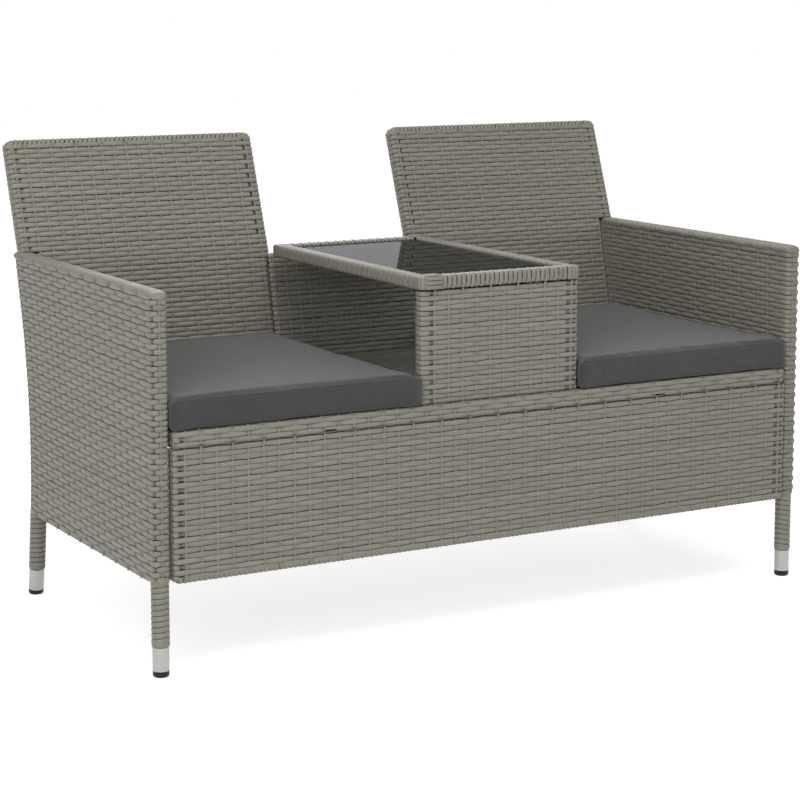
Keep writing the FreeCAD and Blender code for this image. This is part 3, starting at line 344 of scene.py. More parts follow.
def woven_panel(courses, pitch, half, rounds, slits=(), bare=(), both=True, deep=0.85):
    """Strands of a panel that wraps round its tubes. A course is its origin, the directions along
    and out of the panel, its near and far ends, the upright strands' places, and a part's name.
    A slit is a place where every second course drops behind: its distance from the near end, or
    below zero from the far end, its half width and the upright beside it. Bare lists the places
    that have no upright. Both says that the rear has slits too; if not, the strands lie calmer at
    the near corner of the rear. Deep scales how far they swing in and out."""
    runs = []
    uprights = {}
    for number, (origin, along, out, near, far, marks, part) in enumerate(courses):
        table = section_table(near, far, half, *rounds)
        length = table[0][-1]
        lead = half - rounds[0] + rounds[0] * math.pi / 2 - near - rounds[0]
        face = np.array(marks) + lead
        stops = np.concatenate([[0.0], face, [length / 2], length - face[::-1], [length]])
        drops = []
        for reach, wide, mark in slits if part != "lower" else ():
            middle_of_slit = (near if reach > 0 else far) + reach + lead
            mark %= len(marks)
            if (mark + 1 + number) % 2:
                drops.append((middle_of_slit, wide))
            if both and (len(stops) - 2 - mark + number) % 2:
                drops.append((length - middle_of_slit, wide))
        extra = np.array([at + wide * k for at, wide in drops for k in (-1.7, -1, -0.4, 0.4, 1, 1.7)])
        spots, phase, gap = spaced(stops, crossing_shares, extra[(extra > 0) & (extra < length)])
        place, facing = read_table(table, spots)
        height = deep * course_height(phase + number, gap)
        if not both:
            height *= 1 - calm_share * np.exp(-((spots - length + face[0]) / calm_reach) ** 2)
        for at, wide in drops:
            height = height - slit_drop * np.exp(-((spots - at) / wide / 1.2) ** 4)
        upward = np.cross(along, out)
        upward *= np.sign(upward[2])
        drift = wander * np.sin(spots * 9 + number * 2.4) + jitter * (shades.random() - 0.5)
        flat = place + facing * (height - skin_middle)[:, None]
        path = origin + flat[:, :1] * along + flat[:, 1:] * out + drift[:, None] * upward
        facing = facing[:, :1] * along + facing[:, 1:] * out
        runs.append((path, facing, pitch * row_cover * row_swell(height), sunk_share(height), True, 1))
        names = ([f"near{part}"] + [("front", i) for i in range(len(marks))] + [f"far{part}"]
                 + [("rear", i) for i in reversed(range(len(marks)))])
        place, facing = read_table(table, stops[:-1])
        spot = origin + place[:, :1] * along + place[:, 1:] * out
        facing = facing[:, :1] * along + facing[:, 1:] * out
        for i, name in enumerate(names):
            if name[1] not in bare:
                uprights.setdefault(name, []).append((spot[i], facing[i], (-1) ** (i + number)))
    for strand in uprights.values():
        runs.append(upright_run(strand, deep))
    return runs


def upright_run(crossings, deep=1.0):
    """An upright strand through its crossings, behind the courses that pass out at them."""
    spots, facings, signs = (np.array(x, float) for x in zip(*crossings))
    path = spots - facings * (skin_middle + deep * weave_swing * signs[:, None])
    between = (path[1:] + path[:-1]) / 2
    full = np.empty((2 * len(path) - 1, 3))
    full[::2], full[1::2] = path, between
    facing = np.empty_like(full)
    facing[::2], facing[1::2] = facings, unit(facings[1:] + facings[:-1])
    reach = unit(full[-1] - full[-2]) * upright_end
    foot = unit(full[0] - full[1]) * upright_end
    full = np.concatenate([[full[0] + foot], full, [full[-1] + reach]])
    facing = np.concatenate([facing[:1], facing, facing[-1:]])
    return full, facing, np.full(len(full), warp_width), 0.0, False, 1


def bound_edge(edge, outward, through, half, turn, reach=edge_reach):
    """Short strands wound over a panel's edge. Edge holds the outer line's points, and outward
    the direction away from the panel at each. Through is the direction across the panel."""
    length = lengths_along(edge)
    count = max(1, round(length[-1] / edge_pitch))
    runs = []
    quarter = np.linspace(0, math.pi / 2, 5)
    sink = strand_thickness * winding_crown / 2
    inner = turn - sink
    for i in range(count):
        spot = (i + 0.5) / count * length[-1]
        at = at_length(spot, length, edge)
        up = unit(at_length(spot, length, outward))
        ahead = unit(np.cross(up, through))
        side = [(half - sink - edge_dip, -reach - 0.001, 1.0, 0.0),
                (half - sink, -reach + 0.002, 1.0, 0.0)]
        arc = [(half - turn + inner * math.cos(q), -turn + inner * math.sin(q), math.cos(q), math.sin(q))
               for q in quarter]
        path = side + arc
        path = np.array(path + [(-d, m, -nd, nm) for d, m, nd, nm in reversed(path)])
        slide = np.linspace(-0.5, 0.5, len(path)) * edge_skew * (0.8 + 0.4 * shades.random())
        facing = path[:, 2:3] * through + path[:, 3:] * up
        lift = wander * (i % 2) + jitter * shades.random()
        points = at + path[:, :1] * through + path[:, 1:2] * up + slide[:, None] * ahead + lift * facing
        runs.append((points, facing, np.full(len(points), edge_pitch), 0.0, False, winding_crown))
    return runs


def reach_to(node):
    """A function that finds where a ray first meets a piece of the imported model."""
    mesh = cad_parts[node].data
    tree = BVHTree.FromPolygons([v.co for v in mesh.vertices], [p.vertices for p in mesh.polygons])
    return lambda start, ahead: tree.ray_cast(Vector(start), Vector(ahead))[:2]


X, Y, Z = np.eye(3)
arm_courses = 53
arm_gaps = 21
arm_edge_round = 0.008
arm_corner = 0.010
arm_slit = (0.0017, 0.0017, 0)
arm_depth = 1.1
leg_gap = 0.002
rail_end = 0.004
for side, sign in (("left", -1), ("right", 1)):
    node = f"{side}_arm_weave"
    low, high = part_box(node)
    hit = reach_to(node)
    half = (high.x - low.x) / 2
    middle = (low.x + high.x) / 2
    courses = []
    levels = np.linspace(low.z + edge_reach, high.z - edge_reach, arm_courses)
    for z in levels:
        rear = hit((middle, 1, z), (0, -1, 0))[0].y
        marks = np.linspace(low.y + arm_slit[0], rear - half, arm_gaps + 1)
        courses.append((np.array([middle, 0, z]), Y, X * sign, low.y, rear, marks, ""))
    runs = woven_panel(courses, levels[1] - levels[0], half, (arm_edge_round, half), (arm_slit,), (0,),
                       False, arm_depth)
    rear_top = hit((middle, 1, high.z - arm_corner), (0, -1, 0))[0].y
    turn = np.linspace(math.pi / 2, 0, 5)[:, None]
    arc_out = np.cos(turn) * Z - np.sin(turn) * Y
    arc = np.array([middle, low.y + arm_corner, high.z - arm_corner]) + arm_corner * arc_out
    edge = np.concatenate([[arc[0] - rail_end * Z], arc, [[middle, rear_top - rail_end, high.z]]])
    out = np.concatenate([[-Y], arc_out, [Z]])
    runs += bound_edge(edge, out, X * sign, half, arm_edge_round)
    front_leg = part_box(f"front_{side}_leg_winding")[1].y + leg_gap
    rear_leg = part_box(f"rear_{side}_leg_winding")[0].y - leg_gap
    foot = np.array([[middle, front_leg, low.z], [middle, rear_leg, low.z]])
    runs += bound_edge(foot, np.array([-Z, -Z]), X * sign, half, arm_edge_round)
    strand_piece(f"{side}_arm_weaving", runs, node)


# The strand wound round each leg: the same flat plastic, turn against turn from inside the arm's
# weave down to the sleeve. The left legs are wound the other way about from the right ones, and
# the rear legs lean.

ends = [f"{row}_{side}" for row in ("front", "rear") for side in ("left", "right")]
leg_pitch = 0.00954
leg_tuck = 0.008
leg_crown = 1.15
turn_steps = 24
for end in ends:
    low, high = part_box(f"{end}_leg_winding")
    half = (high.x - low.x) / 2
    foot = np.array([low.x + half, high.y - half, low.z])
    lean = unit(np.array([low.x + half, low.y + half, high.z + leg_tuck]) - foot)
    turns = round((high.z - low.z + leg_tuck) / lean[2] / leg_pitch) - 1
    at = np.arange(-turn_steps, turn_steps * (turns + 1) + 1) / turn_steps
    turn = 2 * math.pi * at * (1 if "left" in end else -1)
    facing = np.cos(turn)[:, None] * X + np.sin(turn)[:, None] * np.cross(lean, X)
    climb = leg_pitch * (np.clip(at, 0, turns) + 0.5)
    path = foot + facing * (half - strand_thickness * leg_crown / 2) + climb[:, None] * lean
    widths = np.full(len(at), leg_pitch * row_cover)
    strand_piece(f"{end}_leg_wound", [(path, facing, widths, 0.0, False, leg_crown)],
                 f"{end}_leg_winding")


# The woven skirt under the front of the seat, and the woven panel under the table's front edge.
# Both wrap round tubes of their own, level strand over upright strand as on the arms, and a strand
# lies along the top of the skirt.

panel_edge_round = 0.004
skirt_gap = 0.0284
skirt_insets = (0.0225, 0.0155)
skirt_slits = ((0.0145, 0.0045, 0), (-0.008, 0.002, -1), (-0.0215, 0.003, -1))
table_insets = (0.029, 0.015)
table_slits = ((0.0235, 0.003, 0), (-0.008, 0.002, -1), (-0.0215, 0.0032, -1))
panel_spread = 0.0013
cap_shift = 0.002


def front_panel(node, insets, slits, pitch, bound):
    low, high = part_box(node)
    half = (high.y - low.y) / 2
    middle = (low.y + high.y) / 2
    low.x -= panel_spread * bound
    high.x += panel_spread * bound
    gaps = round((high.x - low.x - sum(insets)) / skirt_gap)
    marks = np.linspace(low.x + insets[0], high.x - insets[1], gaps + 1)
    start = low.z + (edge_reach if bound else strand_width / 2)
    end = high.z - strand_width / 2 + (0.0012 if bound else 0.0004)
    count = round((end - start) / pitch) + 1
    courses = [(np.array([0, middle, z]), X, -Y, low.x, high.x, marks, "")
               for z in np.linspace(start, end, count)]
    runs = woven_panel(courses, pitch, half, (panel_edge_round, panel_edge_round), slits, (), False)
    if bound:
        foot = np.array([[low.x + 0.006, middle, low.z], [high.x - 0.006, middle, low.z]])
        runs += bound_edge(foot, np.array([-Z, -Z]), Y, half, panel_edge_round)
        # The cap strand is marked fully sunk, so it carries the full painted shade and is darker, as the
        # seam under the cushion.
        cap = np.array([[x, middle + cap_shift, high.z + cap_shift] for x in (low.x, 0, high.x)])
        runs.append((cap, np.array([Z, Z, Z]), np.full(3, 2 * (half - cap_shift)), 1.0, False, 1))
    return runs


strand_piece("skirt_weaving", front_panel("skirt_weave", skirt_insets, skirt_slits, 0.0091, True),
             "skirt_weave")
strand_piece("table_front_weaving",
             front_panel("table_front_weave", table_insets, table_slits, 0.00855, False),
             "table_front_weave")


# The woven seat. Strands run the length of the bench, and the cross strands run from the front
# rail to the rear one, and both turn under the rails that carry them.

deck_low, deck_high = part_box("seat_deck_weave")
deck_band = 0.028
deck_round = 0.007
deck_low_round = 0.0015
deck_gap = 0.0283
deck_pitch = 0.0091
deck_insets = (0.0225, 0.0225)
deck_slits = ((0.0155, 0.003), (-0.0155, 0.003))
deck_turn_down = 0.012
slot_half = 0.0098
slot_cut = 0.36
slot_rise = 0.0018
face_rows = 3
slot_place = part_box("seat_cross_tubes")[1].x - 0.009


def deck_profile():
    """The seat's line from under its front rail, over the top, to under the rear rail."""
    quarter = np.linspace(0, math.pi / 2, 6)
    front, rear, top, foot = deck_low.y, deck_high.y, deck_high.z, deck_low.z
    rows = [(front + deck_band, foot, 0, -1)]
    for y, z, bend, start in ((front, foot, deck_low_round, -math.pi / 2),
                              (front, top, deck_round, -math.pi),
                              (rear, top, deck_round, math.pi / 2), (rear, foot, deck_round, 0)):
        y += bend if y == front else -bend
        z += bend if z == foot else -bend
        for turn in start - quarter:
            c, s = math.cos(turn), math.sin(turn)
            rows.append((y + bend * c, z + bend * s, c, s))
    rows.append((rear - deck_band, foot, 0, -1))
    rows = np.array(rows)
    return lengths_along(rows[:, :2]), rows


def deck_runs():
    lengths, rows = deck_profile()
    lowest = deck_band - deck_low_round + deck_low_round * math.pi / 2 + strand_width / 2
    hidden = int(lowest / deck_pitch)
    spots = np.arange(lowest - hidden * deck_pitch, lengths[-1], deck_pitch)
    count = len(spots)
    place, facing = read_table((lengths, rows), spots)
    place = np.concatenate([np.zeros((count, 1)), place], 1)
    facing = np.concatenate([np.zeros((count, 1)), facing], 1)
    gaps = round((deck_high.x - deck_low.x - sum(deck_insets)) / deck_gap)
    marks = np.linspace(deck_low.x + deck_insets[0], deck_high.x - deck_insets[1], gaps + 1)
    stops = np.concatenate([[deck_low.x + 0.002], marks, [deck_high.x - 0.002]])
    slits = [((deck_low.x if reach > 0 else deck_high.x) + reach, wide) for reach, wide in deck_slits]
    extra = [at + wide * k for at, wide in slits for k in (-1.7, -1, 0, 1, 1.7)]
    extra += [side * slot_place + k * slot_half for side in (-1, 1) for k in (-1.25, -1, 1, 1.25)]
    reach, phase, gap = spaced(stops, np.array((0, 0.3, 0.7)), extra)
    runs = []
    for number in range(count):
        height = course_height(phase + number, gap)
        for (at, wide), mark in zip(slits, (1, gaps + 1)):
            if (mark + number) % 2 and number < hidden + face_rows:
                height = height - slit_drop * np.exp(-((reach - at) / wide / 1.2) ** 4)
        out = facing[number]
        path = place[number] + reach[:, None] * X + (height - skin_middle)[:, None] * out
        side = np.tile(out, (len(path), 1))
        ends = []
        for edge, sign in ((deck_low.x, -1), (deck_high.x, 1)):
            corner = place[number] - out * skin_middle + X * (edge - sign * 0.002)
            below = corner + X * sign * 0.001 - out * deck_turn_down
            ends.append(([corner + X * sign * 0.001 - out * 0.002, below], [X * sign, X * sign]))
        path = np.concatenate([ends[0][0][::-1], path, ends[1][0]])
        side = np.concatenate([ends[0][1], side, ends[1][1]])
        swell = row_swell(height)
        if number == hidden:
            notch = (np.abs(np.abs(reach) - slot_place) < slot_half * 1.1).astype(float)
            path[2:-2, 2] += slot_rise * notch
            swell = swell * (1 - slot_cut * notch)
        swell = np.concatenate([[0.9, 0.9], swell, [0.9, 0.9]])
        sunk = np.concatenate([[0, 0], sunk_share(height), [0, 0]])
        runs.append((path, side, deck_pitch * row_cover * swell, sunk, False, 1))
    for i, x in enumerate(marks):
        crossings = [(place[n] + x * X, facing[n], (-1) ** (i + 1 + n)) for n in range(count)]
        runs.append(upright_run(crossings))
    return runs


strand_piece("seat_weaving", deck_runs(), "seat_deck_weave")


# The two tall backs and the low back behind the table, all on one frame. They lean back, and
# lean further above the bend. Each outer back widens above the arm and rests on it.

back_gap = 0.0252
back_pitch = 0.0094
back_edge_round = 0.0065
back_top_round = 0.016
back_inset = 0.010
wide_row_rise = 0.0049
back_slits = ((0.0195, 0.0022, 0), (-0.0195, 0.0022, -1))
back_half = 0.0135
back_rise = 0.0035
back_reach = 0.0155
back_spread = 0.005
back_clear = 0.003
back_margin = 0.0085
table_back_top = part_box("middle_back_weave")[1].z
arm_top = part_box("left_arm_weave")[1].z


def back_line(hit, x, bottom, top):
    """The front face's line at one place across a back: points and outward directions."""
    points, facings = [], []
    for z in np.linspace(bottom + 0.0005, top - back_margin, 60):
        spot, facing = hit((x, -1, z), (0, 1, 0))
        points.append(spot)
        facings.append(facing)
    points, facings = np.array(points), np.array(facings)
    facings[:, 0] = 0
    return points, unit(facings)


def back_runs(node, inner, sign):
    low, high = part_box(node)
    hit = reach_to(node)
    points, facings = back_line(hit, (low.x + high.x) / 2, low.z, high.z)
    length = lengths_along(points)
    tall = high.z > arm_top
    lean = math.asin(abs(facings[-1][2]))
    total = length[-1] + back_margin / math.cos(lean) + (back_rise if tall else back_pitch)
    bound = back_reach if tall else strand_width / 2
    first = strand_width / 2
    if tall:
        first += (np.interp(arm_top + wide_row_rise, points[:, 2], length) - first) % back_pitch
    count = round((total - bound - first) / back_pitch) + 1
    courses = []
    outer_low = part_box("seat_deck_weave")[1].x
    for spot in first + back_pitch * np.arange(-int(first > strand_width), count):
        at = at_length(spot, length, points)
        if spot > length[-1]:
            at = points[-1] + unit(points[-1] - points[-2]) * (spot - length[-1])
        out = unit(at_length(spot, length, facings))
        if not tall:
            near, far, part = low.x, high.x, ""
        else:
            wide = at[2] > arm_top
            outer = max(abs(low.x), abs(high.x)) if wide else outer_low - back_clear
            clear = at[2] > table_back_top
            near, far, part = inner - back_spread * clear, outer, "upper" if wide else "lower"
            rise = max(0.0, spot - (total - back_top_round))
            cut = back_top_round - math.sqrt(back_top_round ** 2 - rise ** 2)
            near, far = near + cut, far - cut
        first_edge, last_edge = (inner, outer_low) if tall else (near, far)
        gaps = round((last_edge - first_edge - 2 * back_inset) / back_gap)
        marks = np.linspace(first_edge + back_inset, last_edge - back_inset, gaps + 1)
        if part == "upper":
            marks = np.append(marks, marks[-1] + back_gap)
        origin = at - out * back_half
        origin[0] = 0
        courses.append((origin, X * sign, out, near, far, marks, part))
    runs = woven_panel(courses, back_pitch, back_half, (back_edge_round, back_edge_round),
                       back_slits if tall else ())
    if tall:
        up = unit(points[-1] - points[-2])
        top = points[-1] + up * (total - length[-1]) - facings[-1] * back_half
        top[0] = 0
        outer = max(abs(low.x), abs(high.x))
        edge, out = [], []
        for centre, start in ((inner - back_spread + back_top_round, math.pi),
                              (outer - back_top_round, math.pi / 2)):
            for q in np.linspace(start, start - math.pi / 2, 5):
                away = X * sign * math.cos(q) + up * math.sin(q)
                edge.append(top - up * back_top_round + X * sign * centre + away * back_top_round)
                out.append(away)
        runs += bound_edge(np.array(edge), np.array(out), facings[-1], back_half, back_edge_round,
                           back_reach)
    return runs


inner_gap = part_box("right_back_weave")[0].x
strand_piece("left_back_weaving", back_runs("left_back_weave", inner_gap, -1), "left_back_weave")
strand_piece("right_back_weaving", back_runs("right_back_weave", inner_gap, 1), "right_back_weave")
strand_piece("middle_back_weaving", back_runs("middle_back_weave", 0.0, 1), "middle_back_weave")


# The table's rim: a ring of square tube, each rail wound side by side with strand, and strands
# fanned round its corners. At the left end of the front rail three strands lie along it.

rim_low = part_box("table_rim_left_winding")[0]
rim_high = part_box("table_rim_right_winding")[1]
rim_rail = 0.028
rim_round = 0.004
rim_corner = 0.013
wind_pitch = 0.0094
wind_lift = 0.0006
patch_reach = 0.034


def rail_winding(start, end, across, width):
    """One strand wound round a rail from start to end, the middles of its end faces."""
    ahead = unit(end - start)
    length = np.linalg.norm(end - start)
    turns = round(length / wind_pitch)
    depth = rim_high.z - rim_low.z
    table = section_table(-width / 2, width / 2, depth / 2, rim_round, rim_round)
    spots = np.arange(-turn_steps // 2, turn_steps * turns) / turn_steps
    lag = np.mod(spots, 1)
    place, facing = read_table(table, lag * table[0][-1])
    advance = (np.floor(spots) + 0.5 + np.clip((lag - 0.55) / 0.4, 0, 1)) * length / turns
    advance = np.clip(advance, wind_pitch / 2, length - wind_pitch / 2)
    lift = wind_lift * np.mod(np.floor(spots), 2) - winding_crown * strand_thickness / 2
    flat = place + facing * lift[:, None]
    path = start + advance[:, None] * ahead + flat[:, :1] * across + flat[:, 1:] * Z
    facing = facing[:, :1] * across + facing[:, 1:] * Z
    return path, facing, np.full(len(path), length / turns), 0.0, False, winding_crown


def corner_fan(side, end):
    """Six strands that fan from the opening's corner over the rim's rounded corner and under it."""
    flat = rim_rail - rim_corner
    bend = rim_corner * math.pi / 2
    inner = np.array([side * (rim_high.x - rim_rail),
                      rim_low.y + rim_rail if end < 0 else rim_high.y - rim_rail])
    quarter = np.linspace(0, math.pi / 2, 5)
    runs = []
    for k in range(6):
        spot = (k + 0.5) / 6 * (2 * flat + bend)
        if spot < flat:
            out, away = np.array([rim_rail, spot]), np.array([1.0, 0.0])
        elif spot < flat + bend:
            turn = (spot - flat) / rim_corner
            away = np.array([math.cos(turn), math.sin(turn)])
            out = flat + rim_corner * away
        else:
            out, away = np.array([2 * flat + bend - spot, rim_rail]), np.array([0.0, 1.0])
        rows = [(out * 0.1, 0.0, 0.0, 1.0, 0.003), (out * 0.55, 0.0, 0.0, 1.0, 0.006)]
        rows += [(out - away * rim_round * (1 - math.sin(q)), -rim_round * (1 - math.cos(q)),
                  math.sin(q), math.cos(q), 0.0088) for q in quarter]
        half = (rim_high.z - rim_low.z) / 2
        upper = [(spot, half + fall, *rest) for spot, fall, *rest in rows]
        lower = [(place, -z, level, -rise, width) for place, z, level, rise, width in reversed(upper)]
        path, facing, widths = [], [], []
        for place, z, level, rise, width in upper + lower:
            normal = np.array([side * away[0] * level, end * away[1] * level, rise])
            at = np.array([*(inner + np.array([side, end]) * place), (rim_low.z + rim_high.z) / 2 + z])
            path.append(at - normal * (strand_thickness / 2 - 0.0001 * k))
            facing.append(normal)
            widths.append(width)
        runs.append((np.array(path), np.array(facing), np.array(widths), 0.0, False, 1))
    return runs


def corner_patch():
    """Strands laid along the front rail at its left end, over the windings, on its face and top."""
    start = -rim_high.x + rim_corner
    reach = np.array([0, 0.0015, patch_reach / 2, patch_reach - 0.0015, patch_reach]) + start
    rise = np.array([-0.0012, 0, 0.0002, 0, -0.0012]) + 0.0008
    runs = []
    for k in range(3):
        z = rim_low.z + (k + 0.5) / 3 * (rim_high.z - rim_low.z)
        y = rim_low.y + 0.002 + (k + 0.5) / 3 * (rim_rail - 0.002)
        for base, normal, width in ((np.array([0, rim_low.y, z]), -Y, 0.0075),
                                    (np.array([0, y, rim_high.z]), Z, 0.0083)):
            path = base + reach[:, None] * X + rise[:, None] * normal
            runs.append((path, np.tile(normal, (5, 1)), np.full(5, width), 0.0, False, 1))
    return runs


def rim_runs():
    z = (rim_low.z + rim_high.z) / 2
    front, rear = rim_low.y + rim_rail, rim_high.y - rim_rail
    inside = rim_high.x - rim_rail
    runs = corner_patch()
    for side in (-1, 1):
        x = side * (rim_high.x - rim_rail / 2)
        runs.append(rail_winding(np.array([x, front, z]), np.array([x, rear, z]), X, rim_rail))
        for end in (-1, 1):
            runs += corner_fan(side, end)
    for y in (rim_low.y + rim_rail / 2, rim_high.y - rim_rail / 2):
        runs.append(rail_winding(np.array([-inside, y, z]), np.array([inside, y, z]), Y, rim_rail))
    return runs


strand_piece("table_rim_weaving", rim_runs(),
             *[f"table_rim_{rail}_winding" for rail in ("left", "right", "front", "rear")])


# The tea table's top: one pane of dark tinted tempered glass with polished edges, which lies on
# six rubber pads and lifts out by hand.

tinted_glass, tree, shader = start_material("tinted_glass")
smudge = grained(tree, "2c2d2c", 0.06, 0.02, 0.02, 40.0)
join(tree, shader, smudge)
shader.inputs["Transmission Weight"].default_value = 0.3
shader.inputs["IOR"].default_value = 1.45
shader.inputs["Specular IOR Level"].default_value = 0.001
dress(tinted_glass, "glass_top")

pad_rubber, tree, shader = start_material("pad_rubber")
join(tree, shader, grained(tree, "2a2a29", 0.2, 0.8, 0.1, 1200.0), depth=0.0001)
dress(pad_rubber, "glass_pads")


# The legs' ends: a silver coated steel sleeve pushed over each tube, and a black moulded plastic
# foot in it, which stands on the floor.

sleeve_metal, tree, shader = start_material("sleeve_metal")
join(tree, shader, grained(tree, "a9a9a7", 0.05, 0.32, 0.12, 1500.0), depth=0.00004)
shader.inputs["Metallic"].default_value = 0.85
dress(sleeve_metal, *[f"{end}_leg_sleeve" for end in ends])

foot_plastic, tree, shader = start_material("foot_plastic")
join(tree, shader, grained(tree, "070707", 0.2, 0.36, 0.12, 900.0), depth=0.0001)
shader.inputs["Specular IOR Level"].default_value = 0.3
dress(foot_plastic, *[f"{end}_foot_cap" for end in ends])


# Bolts, washers, spacers, inserts and screws: zinc plated steel. They hold the arms to the seat and
# the table's bars to its rim and front, hidden inside the bench.

fastener_steel, tree, shader = start_material("fastener_steel")
join(tree, shader, grained(tree, "a8a9a6", 0.12, 0.36, 0.15, 2200.0), depth=0.00003)
shader.inputs["Metallic"].default_value = 1.0
dress(fastener_steel, "frame_bolts", "frame_bolt_washers", "arm_spacers", "threaded_inserts",
      "table_bar_screws", "table_ring_screws", "table_front_screws")


# The two seat cushions: a foam core in a dark grey fabric cover, sewn as a box with a top, a
# bottom and a boxing strip, with a welt in each long seam.

cushion_foam, tree, shader = start_material("cushion_foam")
join(tree, shader, grained(tree, "d8d3bd", 0.1, 0.95, 0.05, 2500.0), depth=0.0004)
dress(cushion_foam, "left_cushion_foam", "right_cushion_foam")
yarn_pitch = 0.0011


def fabric_material():
    """Plain woven polyester: two sets of fine yarns, flecked, with a dull sheen."""
    material, tree, shader = start_material("cushion_fabric")
    place = add(tree, "TexCoord").outputs["Object"]
    turned = add(tree, "SeparateXYZ", {0: place}).outputs
    yarns = []
    for axis in ("X", "Y"):
        yarns.append(calc(tree, "SINE", calc(tree, "MULTIPLY", turned[axis], 2 * math.pi / yarn_pitch)))
    weave = calc(tree, "MULTIPLY", *yarns)
    fleck = add(tree, "TexNoise", {"Vector": place, "Scale": 1400.0, "Detail": 2.0}).outputs["Fac"]
    broad = add(tree, "TexNoise", {"Vector": place, "Scale": 9.0, "Detail": 3.0}).outputs["Fac"]
    level = remap(tree, calc(tree, "ADD", fleck, broad), 0.82, 1.18, 0.6, 1.4)
    tint = add(tree, "VectorMath", {0: linear("353736")[:3], "Scale": level}, operation="SCALE")
    height = calc(tree, "MULTIPLY_ADD", weave, 0.5, fleck)
    bump = add(tree, "Bump", {"Height": height, "Distance": 0.0003, "Strength": 0.6})
    tree.links.new(tint.outputs[0], shader.inputs["Base Color"])
    tree.links.new(remap(tree, fleck, 0.78, 0.98), shader.inputs["Roughness"])
    tree.links.new(bump.outputs[0], shader.inputs["Normal"])
    shader.inputs["Sheen Weight"].default_value = 0.34
    shader.inputs["Sheen Roughness"].default_value = 0.5
    return material


cushion_fabric = fabric_material()
corner_round = 0.007
start_inset = 0.005
seam_height = 0.4595
swell_cap = 0.012
voxel = 0.006
pressure = 4.0
welt_radius = 0.0016
welt_points = 240
table_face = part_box("table_front_weave")[0].y
corner_overhang = 0.0075


def cushion_outline(low, high, inset, radius):
    """A rounded rectangle seen from above, as points in order."""
    points = []
    for x, y, start in ((high.x, high.y, 0), (low.x, high.y, 90), (low.x, low.y, 180),
                        (high.x, low.y, 270)):
        sx, sy = (1 if x == high.x else -1), (1 if y == high.y else -1)
        cx, cy = x - sx * (radius + inset), y - sy * (radius + inset)
        for k in range(7):
            turn = math.radians(start + 15 * k)
            points.append((cx + radius * math.cos(turn), cy + radius * math.sin(turn)))
    return points


def stuffed_box(name, low, high):
    """A closed box with rounded upright corners, for the simulation to fill out."""
    outline = cushion_outline(low, high, start_inset, corner_round)
    mesh = bmesh.new()
    layers = []
    for z in (low.z + 0.002, (low.z + seam_height) / 2, seam_height):
        layers.append([mesh.verts.new((x, y, z)) for x, y in outline])
    count = len(outline)
    for below, above in zip(layers, layers[1:]):
        for i in range(count):
            mesh.faces.new((below[i], below[(i + 1) % count], above[(i + 1) % count], above[i]))
    mesh.faces.new(layers[0][::-1])
    mesh.faces.new(layers[-1])
    data = bpy.data.meshes.new(name)
    mesh.to_mesh(data)
    mesh.free()
    piece = bpy.data.objects.new(name, data)
    scene.collection.objects.link(piece)
    remesh = piece.modifiers.new("even", "REMESH")
    remesh.mode = "VOXEL"
    remesh.voxel_size = voxel
    settle(piece)
    return piece


def settle(piece):
    """Turns a piece's modifiers into its mesh."""
    bpy.context.view_layer.update()
    shaped = piece.evaluated_get(bpy.context.evaluated_depsgraph_get())
    done = bpy.data.meshes.new_from_object(shaped)
    piece.modifiers.clear()
    piece.data = done


def inflate(piece):
    """Fills the cover with the cloth solver, and caps how far any point may go."""
    before = np.array([v.co for v in piece.data.vertices])
    cloth = piece.modifiers.new("fill", "CLOTH")
    cloth.settings.use_pressure = True
    cloth.settings.uniform_pressure_force = pressure
    cloth.settings.tension_stiffness = 20
    cloth.settings.compression_stiffness = 20
    cloth.settings.bending_stiffness = 2
    cloth.settings.effector_weights.gravity = 0
    for number in range(1, 21):
        scene.frame_set(number)
    settle(piece)
    scene.frame_set(1)
    after = np.array([v.co for v in piece.data.vertices])
    move = after - before
    length = np.linalg.norm(move, axis=1)[:, None]
    return before + move * np.minimum(1, swell_cap / np.maximum(length, 1e-9))


def spread_out(points, low, high):
    """Stretches the filled cover level until it spans its box, as a tight cover on full foam does."""
    for axis in (0, 1):
        reach = points[:, axis].min(), points[:, axis].max()
        points[:, axis] = np.interp(points[:, axis], reach, (low[axis], high[axis]))


def overhang(points, inner):
    """Lets the front corner at the table bulge a little in front of the table's woven face."""
    span = 0.018
    share = np.clip((inner + span - np.abs(points[:, 0])) / span, 0, 1)
    share *= points[:, 1] < table_face - 0.0012
    points[:, 0] -= np.sign(points[:, 0]) * share * corner_overhang


def sew_welts(piece, low, high):
    """Adds the round welt in the seam above and in the seam below the boxing strip."""
    mesh = bmesh.new()
    mesh.from_mesh(piece.data)
    skin = BVHTree.FromBMesh(mesh)
    middle = (low + high) / 2
    for z in (seam_height - 0.0005, low.z + 0.0045):
        rings = []
        outline = cushion_outline(low, high, -0.02, 0.04)
        line = np.array(outline + outline[:1])
        length = lengths_along(line)
        line = at_length(np.linspace(0, length[-1], welt_points + 1)[:-1], length, line)
        path = []
        for x, y in line:
            start = Vector((x, y, z))
            inward = Vector((middle.x + max(min(x - middle.x, 0.18), -0.18),
                             middle.y + max(min(y - middle.y, 0.22), -0.22), z)) - start
            spot = skin.ray_cast(start, inward)[0]
            path.append(np.array(spot if spot else start))
        path = np.array(path)
        path = (np.roll(path, 1, 0) + 2 * path + np.roll(path, -1, 0)) / 4
        ahead = unit(np.roll(path, -1, 0) - np.roll(path, 1, 0))
        out = np.cross(ahead, Z)
        for spot, away in zip(path, out):
            rings.append([mesh.verts.new(spot + welt_radius * (math.cos(q) * away + math.sin(q) * Z))
                          for q in np.linspace(0, 2 * math.pi, 9)[:-1]])
        for here, there in zip(rings, rings[1:] + rings[:1]):
            for i in range(8):
                mesh.faces.new((here[i], here[(i + 1) % 8], there[(i + 1) % 8], there[i]))
    mesh.to_mesh(piece.data)
    mesh.free()


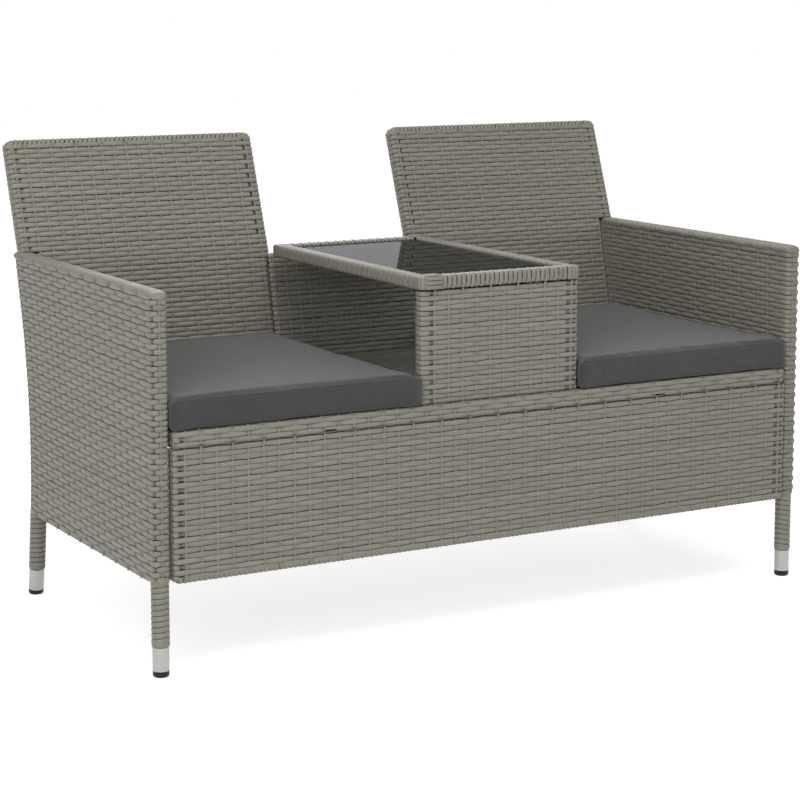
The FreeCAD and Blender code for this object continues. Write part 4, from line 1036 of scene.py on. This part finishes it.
def make_cushion(side):
    node = f"{side}_cushion_cover"
    low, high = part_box(node)
    piece = stuffed_box(f"{side}_seat_cushion", low, high)
    points = inflate(piece)
    spread_out(points, low, high)
    points = np.clip(points, np.array(low), np.array(high))
    overhang(points, min(abs(low.x), abs(high.x)))
    piece.data.vertices.foreach_set("co", points.ravel())
    piece.modifiers.new("soften", "SUBSURF").levels = 1
    settle(piece)
    sew_welts(piece, low, high)
    for face in piece.data.polygons:
        face.use_smooth = True
    piece.data.materials.clear()
    piece.data.materials.append(cushion_fabric)
    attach(piece, f"{side}_cushion")
    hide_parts(node, f"{side}_cushion_foam")


for side in ("left", "right"):
    make_cushion(side)


# The setting: a plain pale floor, soft studio light, and the camera at the photograph's angle.

def direct_rays(tree):
    """1 for rays that come straight from the camera, off gloss or through glass, and 0 for the rest."""
    seen = add(tree, "LightPath").outputs
    either = calc(tree, "MAXIMUM", seen["Is Camera Ray"], seen["Is Glossy Ray"])
    return calc(tree, "MAXIMUM", either, seen["Is Transmission Ray"])


def floor_material():
    """Matt pale floor that shows white against the white backdrop, and keeps the bench's shadow."""
    material, tree, shader = start_material("pale_floor")
    shader.inputs["Base Color"].default_value = linear("f2f2f0")
    shader.inputs["Roughness"].default_value = 0.95
    shader.inputs["Specular IOR Level"].default_value = 0.0
    shader.inputs["Emission Color"].default_value = (1, 1, 1, 1)
    tree.links.new(remap(tree, direct_rays(tree), 0.0, 0.62), shader.inputs["Emission Strength"])
    return material


floor_size = 14.0
mesh = bpy.data.meshes.new("floor")
corners = [(x * floor_size, y * floor_size, 0) for x, y in ((-1, -1), (1, -1), (1, 1), (-1, 1))]
mesh.from_pydata(corners, [], [(0, 1, 2, 3)])
mesh.materials.append(floor_material())
floor = bpy.data.objects.new("floor", mesh)
scene.collection.objects.link(floor)

world = bpy.data.worlds.new("studio")
scene.world = world
world.use_nodes = True
tree = world.node_tree
tree.nodes.clear()
strength = remap(tree, direct_rays(tree), 0.45, 1.0)
sky = add(tree, "Background", {"Color": (1, 1, 1, 1), "Strength": strength})
add(tree, "OutputWorld", {"Surface": sky.outputs[0]})


def soft_lamp(name, place, target, size, power):
    lamp = bpy.data.lights.new(name, "AREA")
    lamp.size = size
    lamp.energy = power
    holder = bpy.data.objects.new(name, lamp)
    holder.location = place
    holder.rotation_euler = (Vector(target) - Vector(place)).to_track_quat("-Z", "Y").to_euler()
    scene.collection.objects.link(holder)


soft_lamp("key", (-0.4, -1.5, 3.3), (0, 0, 0.4), 2.0, 42)
soft_lamp("fill", (-2.5, -2.5, 1.5), (0, 0, 0.4), 2.2, 33)
soft_lamp("rim", (1.2, 3.2, 2.4), (0, 0, 0.5), 1.6, 30)

camera_place = (-2.0477, -3.5975, 1.1188)
camera_yaw = -0.5159
camera_pitch = -0.1407
photo_focal_px = 2216.3
photo_px = 800
lens = bpy.data.cameras.new("camera")
lens.sensor_width = 36
lens.lens = photo_focal_px / photo_px * lens.sensor_width
lens.shift_y = -0.12
camera = bpy.data.objects.new("camera", lens)
camera.location = camera_place
camera.rotation_euler = (math.pi / 2 + camera_pitch, 0, camera_yaw)
scene.collection.objects.link(camera)
scene.camera = camera
scene.view_settings.view_transform = "Standard"
